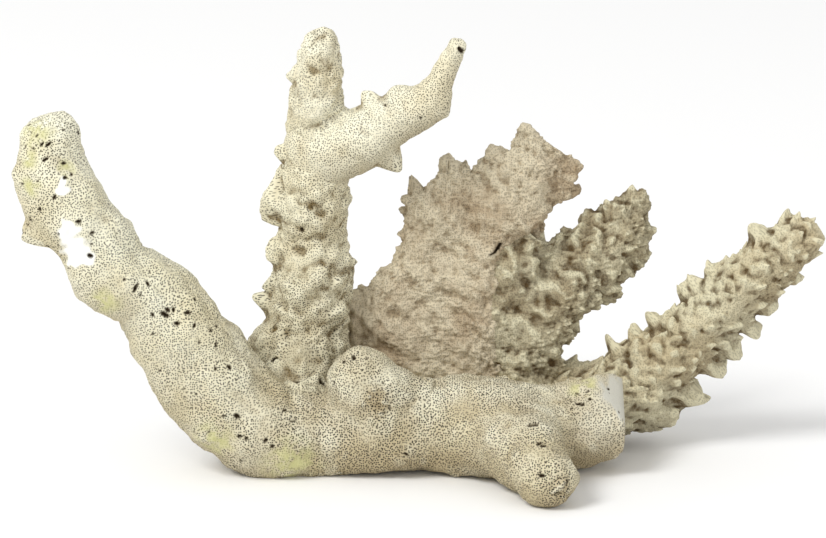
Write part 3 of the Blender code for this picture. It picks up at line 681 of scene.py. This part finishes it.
# The front foot is a stub of branch that runs forward and down to the ground at the right of the trunk. It
# is the same smooth porous skeleton, worn round, with a rough dark break at its tip.
FRONT_FOOT = (
    (44, 0, 15.4, 13.5), (50, -7, 15.4, 13.2), (55, -15, 14.5, 12.6), (60.8, -27, 11.7, 11.1),
    (65.2, -36.8, 8.6, 9.4),
)
FOOT_RELIEFS = ((16, 0.35), (7, 0.2), (2.6, 0.08))
# Slots, given like those of the limb, and the break at the tip, given like the trunk's scar.
FOOT_SLOTS = (
    (539, 442, 0.9, 1.2, 1.2, 0), (543, 446, 0.8, 1.2, 1.2, 0), (541, 475, 1.0, 1.2, 1.2, 0),
    (534, 425, 1.1, 2.4, 1.6, 15), (567, 482, 0.7, 1.2, 1.0, 60), (557, 493, 0.7, 1.2, 0.8, 20),
)
FOOT_SCAR = (563, 488, 4.6)
foot = branch_skin(FRONT_FOOT, columns=48, carriers=(limb["route"],), fillet=12, upright=(0, 0, 1))
roughen(foot, FOOT_RELIEFS, seed=50)
scar(foot, *FOOT_SCAR)
bore_slots(foot, FOOT_SLOTS)
cover("front_foot_skin", foot, SMOOTH_CORAL, "smooth_coral", "front_foot")

# The back root is the low ridge behind the trunk from which the column, the fan and the right branch rise.
# It is the same skeleton, joined to the trunk along its whole length and cut off flat below.
BACK_ROOT = (
    (-12, 16, 11, 12.5), (2, 12, 11, 12), (24, 15, 12, 12.5), (44, 19, 13, 13.5), (58, 26, 13, 13),
    (72, 30, 13, 12.2),
)
BACK_ROOT_RELIEFS = ((18, 0.5), (7, 0.4), (3, 0.15))
back_root = branch_skin(BACK_ROOT, columns=48, carriers=(limb["route"],), fillet=6, tuck=1.0)
roughen(back_root, BACK_ROOT_RELIEFS, seed=60)
stray_holes(back_root, count=40, widths=(0.5, 0.9), depths=(0.6, 1.0), spared=(20, 20), seed=7)
cover("back_root_skin", back_root, SMOOTH_CORAL, "smooth_coral", "trunk")

# The column is the tallest branch, standing behind the trunk. Its skeleton is set all round with small
# mounds, the old cups of the polyps, each leaning towards the tip, and with ragged thorns along its left
# edge. Its finer, paler top is the same tube, parted at a shared ring.
COLUMN = (
    (-13, 14, 21, 13), (-12.2, 21, 29, 14), (-11.8, 23.5, 37, 13.4), (-11, 24, 44, 12.8),
    (-9.7, 24, 51, 12.3), (-9, 24, 58, 12.5), (-9.3, 24, 65.5, 11.1), (-8.8, 24, 73, 10.6),
    (-9, 23, 82, 11.2), (-8.8, 23, 90.5, 10.4), (-7.7, 22, 100.5, 9), (-8, 22, 108.5, 8.5),
    (-7.4, 21, 117, 8.1), (-6.5, 20, 124, 7.3), (-6.1, 19, 131, 6.3), (-6.1, 19, 134.7, 5.4),
)
COLUMN_ROOT_LUMP = ((-18, 20, 26, 9), (-24.5, 22, 33, 7.8))
COLUMN_TOP_STARTS_AT_Z = 113
GOLDEN_TURN = 0.38196601
COLUMN_RELIEFS = ((12, 0.4), (5, 0.3), (2.2, 0.12))
# Cups, lower, middle and upper: spacing, height and half width in mm, lean in degrees, the shares of the
# length between which they stand, and their seed.
COLUMN_CUPS = (
    (6.8, 1.5, 4.2, 50, 0.1, 0.5, 71), (6.8, 1.1, 4.2, 45, 0.5, 0.66, 73),
    (6.8, 0.7, 3.8, 45, 0.66, 0.96, 72),
)
# Two round holes, and the cavities where the column's root meets the arm, given like the slots of the limb.
COLUMN_SLOTS = (
    (302, 230, 0.9, 0.9, 2.0, 0), (274, 249, 0.9, 0.9, 1.6, 0), (275, 366, 1.5, 2.6, 2.4, 130),
    (298, 383, 1.4, 3.2, 2.4, 160), (322, 388, 1.2, 2.6, 2.0, 35),
)
# How far cups stray along a ring, the range of their heights and widths, and a nub's width, all in shares.
CUP_STRAY = 0.022
CUP_HEIGHTS = (0.35, 1.5)
CUP_WIDTHS = (0.7, 1.35)
NUB_WIDTH = 0.45
THORN_SPREAD = 1.35
# Thorns: x, y, z of the root in mm, degrees from straight right, height and base radius in mm.
COLUMN_THORNS = (
    (-14.5, 21, 124.5, 165, 3.2, 2.6), (-15, 22, 98, 165, 6.5, 3.2), (-18, 22, 86, 200, 7.5, 5.5),
    (-18, 23, 77.5, 180, 5, 3), (-20, 22, 66, 175, 4.2, 4.6), (-20, 23, 55, 180, 5, 3),
    (-21, 24, 50.5, 190, 6, 3.5), (2, 24, 62, 20, 3.5, 2.2),
)


def cup_places(skin, spacing, first, last, random):
    """Rows and columns of the cups: equal shares of the skin's area, turned on by the golden angle each
    time, between two shares of the skin's length."""
    points = skin["even"]
    girth = np.linalg.norm(np.roll(points, -1, axis=1) - points, axis=-1).sum(-1)
    step = np.linalg.norm(np.gradient(points.mean(1), axis=0), axis=1)
    area = np.cumsum(girth * step)
    start, stop = area[int(first * (len(area) - 1))], area[int(last * (len(area) - 1))]
    wanted = np.arange(start, stop, spacing**2)
    columns = points.shape[1]
    column = np.arange(len(wanted)) * GOLDEN_TURN * columns
    column += random.normal(0, CUP_STRAY * columns, len(wanted))
    return np.searchsorted(area, wanted), column.astype(int) % columns


def raise_cups(skin, spacing, height, width, lean, first, last, seed, nub=0.0):
    """Cups leaning towards the tip: each a round bump raised along normal cos(lean) + ahead sin(lean), with
    a nub of that share of its height on top of it, a little further ahead."""
    random = np.random.default_rng(seed)
    tilt = math.radians(lean)
    for row, column in zip(*cup_places(skin, spacing, first, last, random)):
        towards = skin["out"][row, column] * math.cos(tilt) + skin["ahead"][row, 0] * math.sin(tilt)
        tall = height * random.uniform(*CUP_HEIGHTS)
        wide = width * random.uniform(*CUP_WIDTHS)
        lift_bump(skin, row, column, wide, tall, towards)
        nub_row = min(row + 2, len(skin["even"]) - 1)
        lift_bump(skin, nub_row, column, NUB_WIDTH * wide, nub * tall, towards)


def raise_thorns(skin, thorns):
    """Thorns: the skin's point nearest to each tip is drawn out to it, and its surroundings follow by the
    share of a bump THORN_SPREAD base radii wide, so that the tip stays blunt."""
    for x, y, z, degrees, height, radius in thorns:
        angle = math.radians(degrees)
        tip = np.array([x + height * math.cos(angle), y, z + height * math.sin(angle)])
        away = np.linalg.norm(skin["even"] - tip, axis=-1)
        row, column = np.unravel_index(away.argmin(), away.shape)
        share = swell(skin, row, column, THORN_SPREAD * radius)
        skin["lift"] += share[..., None] * (tip - skin["even"][row, column])


COLUMN_CORAL = coral_material(
    "column_coral", pale=(236, 231, 204), warm=(214, 204, 172), shade_and_stain_brown=(120, 102, 66),
    pores=0.85, valley_shade=0.7, shaded_and_stained=0.45,
)
PALE_TIP_CORAL = coral_material(
    "pale_tip_coral", pale=(238, 234, 210), warm=(220, 210, 178), shade_and_stain_brown=(142, 124, 88),
    pores=0.85, valley_shade=0.6,
)
column_carriers = (smooth_route(COLUMN_ROOT_LUMP), back_root["route"], limb["route"])
column = branch_skin(COLUMN, columns=56, carriers=column_carriers, fillet=7, tuck=1.2)
roughen(column, COLUMN_RELIEFS, seed=70)
for cups in COLUMN_CUPS:
    raise_cups(column, *cups)
raise_thorns(column, COLUMN_THORNS)
bore_slots(column, COLUMN_SLOTS)
column_points = finished(column)
top_row = int(np.argmax(column_points.mean(1)[:, 2] > COLUMN_TOP_STARTS_AT_Z))
for name, rows, slot, node, material, discs in (
    ("column_skin", slice(0, top_row + 1), "column_coral", "column", COLUMN_CORAL, (False, True)),
    ("column_top_skin", slice(top_row, None), "pale_tip_coral", "column_top", PALE_TIP_CORAL, (True, False)),
):
    part = skin_object(name, column_points[rows], layers_of(column, rows), material, discs)
    dress(part, slot, node)

# The side branch forks from the right of the column near its top and bends up to a thin tip. It is smooth
# pale skeleton with a few thorns and one bored hole near the tip.
SIDE_BRANCH = (
    (-7.7, 22, 100.5, 8.5), (0, 19, 100.6, 9), (7, 17, 105, 9.8), (14.5, 15, 110.5, 8.5),
    (21.5, 13, 114.4, 7.6), (27.5, 11, 117.7, 6.8), (31.3, 10, 123, 4.6), (34.4, 9, 129.7, 3.6),
    (37, 8, 136.3, 3.1),
)
SIDE_THORNS = (
    (8, 16, 113.5, 95, 5, 1.8), (9.5, 15, 117, 100, 4.5, 3), (18.5, 13, 118, 95, 4.5, 3),
    (16.5, 13, 103, 290, 8.5, 4), (30, 10, 117, 325, 5.5, 4),
)
SIDE_RELIEFS = ((14, 0.3), (6, 0.12), (2.6, 0.05))
SIDE_SLOTS = ((461, 51, 0.9, 0.9, 1.2, 0),)
side_branch = branch_skin(SIDE_BRANCH, columns=48, carriers=(column["route"],), fillet=6)
roughen(side_branch, SIDE_RELIEFS, seed=80)
raise_thorns(side_branch, SIDE_THORNS)
bore_slots(side_branch, SIDE_SLOTS)
stray_holes(side_branch, count=10, widths=(0.5, 0.7), depths=(0.4, 0.8), spared=(60, 30), seed=8)
cover("side_branch_skin", side_branch, PALE_TIP_CORAL, "pale_tip_coral", "side_branch")

# The fan is a web of flattened branches grown together behind the trunk. Three lobes rise from one foot,
# each a thick plate with a ragged edge, its two faces rough with low cups, with painted shade in the
# crevices.
FAN_COLUMNS = 256
# Each lobe: its midline (x, y, z, half width, half thickness) and its outline (x, z) in mm, up one side and
# down the other. Where two lobes overlap, they part along a line given as x at heights z.
LEFT_MIDLINE = (
    (31, 27, 14, 21, 7), (29, 28, 30, 22, 7.8), (27, 28, 46, 19, 6.6), (29, 27, 61, 15, 4.9),
    (32, 26, 75, 12, 4.4), (33.5, 26, 85, 9, 3.4),
)
LEFT_OUTLINE = (
    (8, 8), (8, 22), (6, 30), (1.5, 34), (1.5, 48), (3.5, 51), (6, 53.5), (10.5, 54.5), (11.5, 59),
    (16.5, 61), (19, 67), (20, 72.5), (20.5, 77), (18.5, 79), (21.5, 81), (20.5, 83), (23, 84.5),
    (23.8, 87), (27, 85.5), (29, 89.5), (32.5, 91), (33, 95), (35, 98.5), (38, 95), (41, 97), (42, 91.5),
    (46, 88), (50, 80), (53, 66), (55, 50), (55, 8),
)
MIDDLE_MIDLINE = (
    (46, 26, 14, 21, 8.4), (46, 26, 30, 21, 8.8), (47.5, 26.5, 50, 20, 8.2), (50, 25.5, 67, 15, 6),
    (55, 25, 80, 14, 5.6), (60, 24, 91, 12, 4.8),
)
MIDDLE_OUTLINE = (
    (30, 8), (30, 40), (31, 58), (33, 72), (36, 82), (39, 89), (42, 91.5), (45.5, 96.5), (48, 100.5),
    (50, 100.8), (54.5, 98.5), (55.5, 103), (57.5, 106.5), (59.5, 107.5), (62, 106.5), (66, 103.5),
    (71.5, 99.5), (78.5, 95), (76, 91), (74, 89.5), (78, 86.5), (69.5, 81.5), (65, 77), (66.5, 74),
    (64, 70), (62, 62), (60, 50), (62, 36), (62, 8),
)
RIGHT_MIDLINE = (
    (58, 28, 14, 18, 9.6), (61, 28, 30, 16, 9.4), (65, 28.5, 42, 14, 8.8), (72, 30, 51, 12, 7.6),
    (80.5, 31, 60, 11, 7), (88, 32, 68, 10, 6.2), (92, 33, 72, 9, 5.4),
)
RIGHT_OUTLINE = (
    (40, 8), (40, 34), (39, 50), (40, 60), (47, 70), (56, 76), (62, 71.5), (65.5, 70), (68, 66), (70, 68.5),
    (72.5, 74), (75, 70.5), (78.5, 75), (83, 80.5), (84.5, 76), (87.5, 80.5), (90.5, 83), (94.5, 84),
    (98, 85.5), (100.5, 81), (100, 74), (101, 69), (99, 63.5), (96, 58), (92, 54.5), (88, 54), (91.5, 50),
    (84, 47.5), (77, 44.5), (75.5, 41), (77.5, 38), (71, 33.5), (72, 26), (72, 8),
)
LEFT_PARTING = ((43, 8), (43, 92))
RIGHT_PARTING = ((54, 8), (50, 30), (47, 50), (47, 63), (58, 74), (64, 77))
FAN_STEP = 0.42
FAN_FLARE = 8
# In mm: the least half thickness, the reach of each station's plane, the radius that the rows keep round
# the tip, and how deep and over what length a lobe sinks beyond its parting, to what half thickness at
# least.
FAN_PLATE = 2.4
FAN_PLANE_REACH = 9.0
FAN_TIP_SWEEP = 14.0
SINK_DEPTH = 3.0
SINK_OVER = 5.0
SUNK_THICKNESS = 0.6
# The nearest that an edge counts, and the distance where none is hit, in mm.
EDGE_FROM = 0.2
EDGE_MISSED = 60
# Rows to each side over which the widths are evened, for the ragged edge and the smooth inside.
RAGGED_ROWS = 1
SMOOTH_ROWS = 14
FAN_RELIEFS = ((16, 0.4), (7, 0.35), (3.2, 0.24), (1.6, 0.18))
# Low cups: the lean and nub of all, then for each lobe spacing, height, half width and shares of length.
FAN_CUP_LEAN = 38
FAN_CUP_NUB = 0.4
LEFT_CUPS = ((5.4, 0.5, 2.8, 0.1, 0.97),)
MIDDLE_CUPS = ((5.4, 0.6, 2.8, 0.1, 0.97),)
RIGHT_CUPS = ((5.4, 0.7, 3.0, 0.1, 0.42), (5.4, 1.4, 3.3, 0.42, 0.97))
# The crack beside the right parting, given like the slots of the limb.
FAN_CRACKS = ((500, 245, 0.6, 8.0, 1.3, 43),)
FAN_THORNS = (
    (24, 27, 84, 100, 7.5, 2.4), (22.5, 27, 79, 165, 4, 1.8), (21, 27, 71, 170, 3.4, 1.8),
    (19.5, 27, 64, 160, 3, 2),
)


def width_to_outline(origin, direction, outline):
    """Distance from each origin along its direction, in the plane of x and z, to the nearest edge."""
    edge = np.roll(outline, -1, axis=0) - outline
    gap = outline[None] - origin[:, None]
    turn = direction[:, None, 0] * edge[None, :, 1] - direction[:, None, 1] * edge[None, :, 0]
    turn = np.where(abs(turn) < 1e-9, 1e-9, turn)
    along = (gap[..., 0] * edge[None, :, 1] - gap[..., 1] * edge[None, :, 0]) / turn
    share = (gap[..., 0] * direction[:, None, 1] - gap[..., 1] * direction[:, None, 0]) / turn
    hit = (along > EDGE_FROM) & (share >= 0) & (share <= 1)
    return np.where(hit, along, EDGE_MISSED).min(1)


def evened(values, reach):
    """The values with each replaced by the mean of those within reach rows, the ends held."""
    padded = np.pad(values, reach, mode="edge")
    return np.convolve(padded, np.full(2 * reach + 1, 1 / (2 * reach + 1)), mode="valid")


def fan_body(across, up):
    """The fan's middle plane and half thickness at places (x, z). Every station of the three midlines is a
    flat ball of its half width w and half thickness, plate + (thickness - plate) * (1 - (d / w)^2)^0.7, and
    the thickest one counts. The plane is the mean of their y, weighed by exp(-(d / reach)^2)."""
    half_thickness = np.full(across.shape, FAN_PLATE)
    plane = np.zeros(across.shape)
    weight = np.full(across.shape, 1e-9)
    for midline in (LEFT_MIDLINE, MIDDLE_MIDLINE, RIGHT_MIDLINE):
        for x, y, z, wide, thick in smooth_route(midline):
            square = (across - x) ** 2 + (up - z) ** 2
            ball = FAN_PLATE + (thick - FAN_PLATE) * np.maximum(1 - square / wide**2, 0) ** 0.7
            half_thickness = np.maximum(half_thickness, ball)
            share = np.exp(-square / FAN_PLANE_REACH**2) + 1e-6 / (1 + square)
            plane += y * share
            weight += share
    return plane / weight, half_thickness


def lobe_skin(midline, outline, partings):
    """A flat lobe: from each place on the midline a closed section goes out to the outline on both sides,
    and at the tip the two halves swing round until they meet. At angle t the section reaches width * cos t
    sideways, with the ragged part of the width told only near the edge by cos^8, and the half thickness
    times sin(t)^0.5 to the front or the back. Beyond a parting line it sinks under its neighbour."""
    route = smooth_route(midline, FAN_STEP)
    outline = np.array(outline, float)
    centre = route[:, :3]
    ahead = unit(np.gradient(centre, axis=0) * (1, 0, 1))
    swing_rows = round(FAN_TIP_SWEEP * math.pi / 2 / FAN_STEP)
    swing = np.concatenate([np.zeros(len(route)), np.linspace(0, 90, swing_rows + 1)[1:]])
    swing = np.radians(swing)[:, None]
    place = np.concatenate([np.arange(len(route)), np.full(swing_rows, len(route) - 1)])
    origin = centre[place]
    forward = ahead[place]
    side = np.stack([forward[:, 2], 0 * forward[:, 0], -forward[:, 0]], axis=-1)
    angle = np.arange(FAN_COLUMNS) * TURN / FAN_COLUMNS
    rays = [sign * np.cos(swing) * side + np.sin(swing) * forward for sign in (1, -1)]
    widths = [width_to_outline(origin[:, (0, 2)], ray[:, (0, 2)], outline) for ray in rays]
    ragged_widths = evened(np.concatenate([widths[0], widths[1][::-1]]), RAGGED_ROWS)
    smooth_widths = evened(ragged_widths, SMOOTH_ROWS)
    rows = len(place)
    flat = np.zeros((rows, FAN_COLUMNS, 3))
    for sign, ray in zip((1, -1), rays):
        width, even_width = (
            line[:rows] if sign == 1 else line[rows:][::-1] for line in (ragged_widths, smooth_widths)
        )
        reach = np.maximum(sign * np.cos(angle), 0)
        stretch = even_width[:, None] * reach + (width - even_width)[:, None] * reach**FAN_FLARE
        flat += stretch[..., None] * ray[:, None]
    points = origin[:, None] + flat
    plane, half_thickness = fan_body(points[..., 0], points[..., 2])
    for line, side_sign in partings:
        heights = [z for x, z in line]
        parted_at = np.interp(points[..., 2], heights, [x for x, z in line])
        beyond = np.clip(side_sign * (points[..., 0] - parted_at) / SINK_OVER, 0, 1)
        half_thickness = np.maximum(half_thickness - SINK_DEPTH * beyond, SUNK_THICKNESS)
    rim = np.sign(np.sin(angle)) * abs(np.sin(angle)) ** 0.5
    points[..., 1] = plane - half_thickness * rim
    return new_skin(points, forward[:, None])


FAN_CORAL = coral_material(
    "fan_coral", pale=(216, 205, 178), warm=(182, 164, 136), shade_and_stain_brown=(126, 104, 72),
    pores=0.3, valley_shade=0.45, depth=0.35, shaded_and_stained=0.0,
)
KNOBBLY_CORAL = coral_material(
    "knobbly_coral", pale=(220, 213, 182), warm=(196, 182, 148), shade_and_stain_brown=(90, 70, 40),
    pores=0.25, valley_shade=0.7, depth=0.35, shaded_and_stained=0.42, crest_light_share=0.8,
)
LEFT_EDGES = ((LEFT_PARTING, 1),)
MIDDLE_EDGES = ((LEFT_PARTING, -1), (RIGHT_PARTING, 1))
RIGHT_EDGES = ((RIGHT_PARTING, -1),)
for side, midline, outline, edges, lobe_cups, material, slot, seed in (
    ("left", LEFT_MIDLINE, LEFT_OUTLINE, LEFT_EDGES, LEFT_CUPS, FAN_CORAL, "fan_coral", 105),
    ("middle", MIDDLE_MIDLINE, MIDDLE_OUTLINE, MIDDLE_EDGES, MIDDLE_CUPS, FAN_CORAL, "fan_coral", 115),
    ("right", RIGHT_MIDLINE, RIGHT_OUTLINE, RIGHT_EDGES, RIGHT_CUPS, KNOBBLY_CORAL, "knobbly_coral", 125),
):
    lobe = lobe_skin(midline, outline, edges)
    roughen(lobe, FAN_RELIEFS, seed=100)
    # The fan gets the painted shade all over, right up to its margins.
    lobe["shade_and_stain"][:] = 1
    for spacing, height, width, first, last in lobe_cups:
        raise_cups(lobe, spacing, height, width, FAN_CUP_LEAN, first, last, seed, FAN_CUP_NUB)
    if side == "left":
        raise_thorns(lobe, FAN_THORNS)
    else:
        bore_slots(lobe, FAN_CRACKS)
    part = skin_object(f"fan_{side}_skin", finished(lobe), layers_of(lobe), material, (True, False))
    dress(part, slot, f"fan_{side}_lobe", "fan_plate")

# The right branch runs low out of the back root and up to the right. It is set with blunt knobs and thorns
# all round, made paler at their tips by painted light, with brown ground between them darker by painted
# shade.
RIGHT_BRANCH = (
    (62, 29, 13, 12.5), (72, 30, 13, 11.6), (81.5, 30, 14.7, 11.4), (90.5, 29, 17.6, 11.4),
    (101, 28, 25.8, 10.9), (110.6, 26, 35, 10.2), (120, 24, 44.7, 9.8), (129.2, 22, 54.4, 9.5),
    (137.8, 20, 63.5, 9), (144.5, 18, 70, 7.9), (148.3, 17, 73.4, 5.6),
)
RIGHT_HEEL = ((89, 30, 15, 11.5), (98.5, 29, 15.6, 10.6))
RIGHT_THORNS = (
    (85.5, 28, 31.5, 80, 5, 2.4), (93.5, 27, 35.5, 80, 4.5, 2.6), (99.5, 26, 40.5, 85, 4.5, 2.4),
    (107.5, 25, 45.5, 85, 9.5, 2.8), (112, 24, 52, 85, 5.5, 3.4), (119, 23, 58, 95, 4, 3),
    (133, 20, 70.5, 100, 5, 3.2), (147, 17, 75, 60, 4.5, 3), (149.5, 17, 72, 350, 5.5, 3),
    (143, 18, 62.5, 315, 7, 3), (134, 20, 50, 325, 6, 3), (129.5, 21, 43.5, 320, 7.5, 3),
    (124.5, 22, 36.5, 315, 8, 4), (118.5, 24, 29.5, 320, 8, 4.5), (111.5, 25, 21, 320, 9, 4.5),
    (103, 27, 12.5, 330, 8, 4.5),
)
RIGHT_RELIEFS = ((14, 0.4), (6, 0.25), (3, 0.15), (1.7, 0.12))
# Cups, given like those of the column, and the share of the nub on top of each.
BRANCH_CUPS = (4.8, 1.4, 2.8, 45, 0.2, 0.97, 91, 0.7)
right_carriers = (smooth_route(RIGHT_HEEL), back_root["route"])
right_branch = branch_skin(RIGHT_BRANCH, columns=52, carriers=right_carriers, fillet=7)
# The painted shade ends at the fan, and this branch has none.
right_branch["shade_and_stain"][:] = 0
roughen(right_branch, RIGHT_RELIEFS, seed=90)
raise_cups(right_branch, *BRANCH_CUPS)
raise_thorns(right_branch, RIGHT_THORNS)
cover("right_branch_skin", right_branch, KNOBBLY_CORAL, "knobbly_coral", "right_branch")

# The stage: a wide pale floor under the coral, soft light from the left and above, and the camera at the
# photograph's angle.
FLOOR_HALF = 3.0
FLOOR_WHITE = (0.96, 0.96, 0.955, 1)
FLOOR_ROUGHNESS = 0.9
LIGHTS_AIM = (0.03, 0.01, 0.05)
ROOM_WHITE = (1, 1, 1, 1)
ROOM_LIGHT = 0.7
SENSOR_WIDTH = 36.0
floor_mesh = bpy.data.meshes.new("floor")
floor_corners = [(x * FLOOR_HALF, y * FLOOR_HALF, 0) for x, y in ((-1, -1), (1, -1), (1, 1), (-1, 1))]
floor_mesh.from_pydata(floor_corners, [], [(0, 1, 2, 3)])
floor = bpy.data.objects.new("floor", floor_mesh)
bpy.context.scene.collection.objects.link(floor)
floor_paint = bpy.data.materials.new("floor_paint")
floor_paint.use_nodes = True
floor_shader = floor_paint.node_tree.nodes["Principled BSDF"]
floor_shader.inputs["Base Color"].default_value = FLOOR_WHITE
floor_shader.inputs["Roughness"].default_value = FLOOR_ROUGHNESS
floor_mesh.materials.append(floor_paint)


def soft_light(name, place, size, watts):
    """A square area light at a place, turned to face the middle of the coral."""
    lamp = bpy.data.lights.new(name, "AREA")
    lamp.size = size
    lamp.energy = watts
    light = bpy.data.objects.new(name, lamp)
    light.location = place
    direction = Vector(LIGHTS_AIM) - Vector(place)
    light.rotation_euler = direction.to_track_quat("-Z", "Y").to_euler()
    bpy.context.scene.collection.objects.link(light)


soft_light("key_light", place=(-2.2, -2.0, 3.2), size=1.6, watts=110)
soft_light("fill_light", place=(2.0, -2.6, 1.2), size=2.0, watts=12)
world = bpy.data.worlds.new("pale_room")
world.use_nodes = True
background = world.node_tree.nodes["Background"]
background.inputs["Color"].default_value = ROOM_WHITE
background.inputs["Strength"].default_value = ROOM_LIGHT
bpy.context.scene.world = world
bpy.context.scene.view_settings.view_transform = "Standard"
lens = bpy.data.cameras.new("camera")
lens.sensor_width = SENSOR_WIDTH
lens.lens = SENSOR_WIDTH * VIEW_DISTANCE / (VIEW_SIZE[0] * VIEW_UNIT)
camera = bpy.data.objects.new("camera", lens)
camera.location = (VIEW_EYE * MM).tolist()
camera.rotation_euler = Vector(VIEW_AHEAD.tolist()).to_track_quat("-Z", "Y").to_euler()
bpy.context.scene.collection.objects.link(camera)
bpy.context.scene.camera = camera
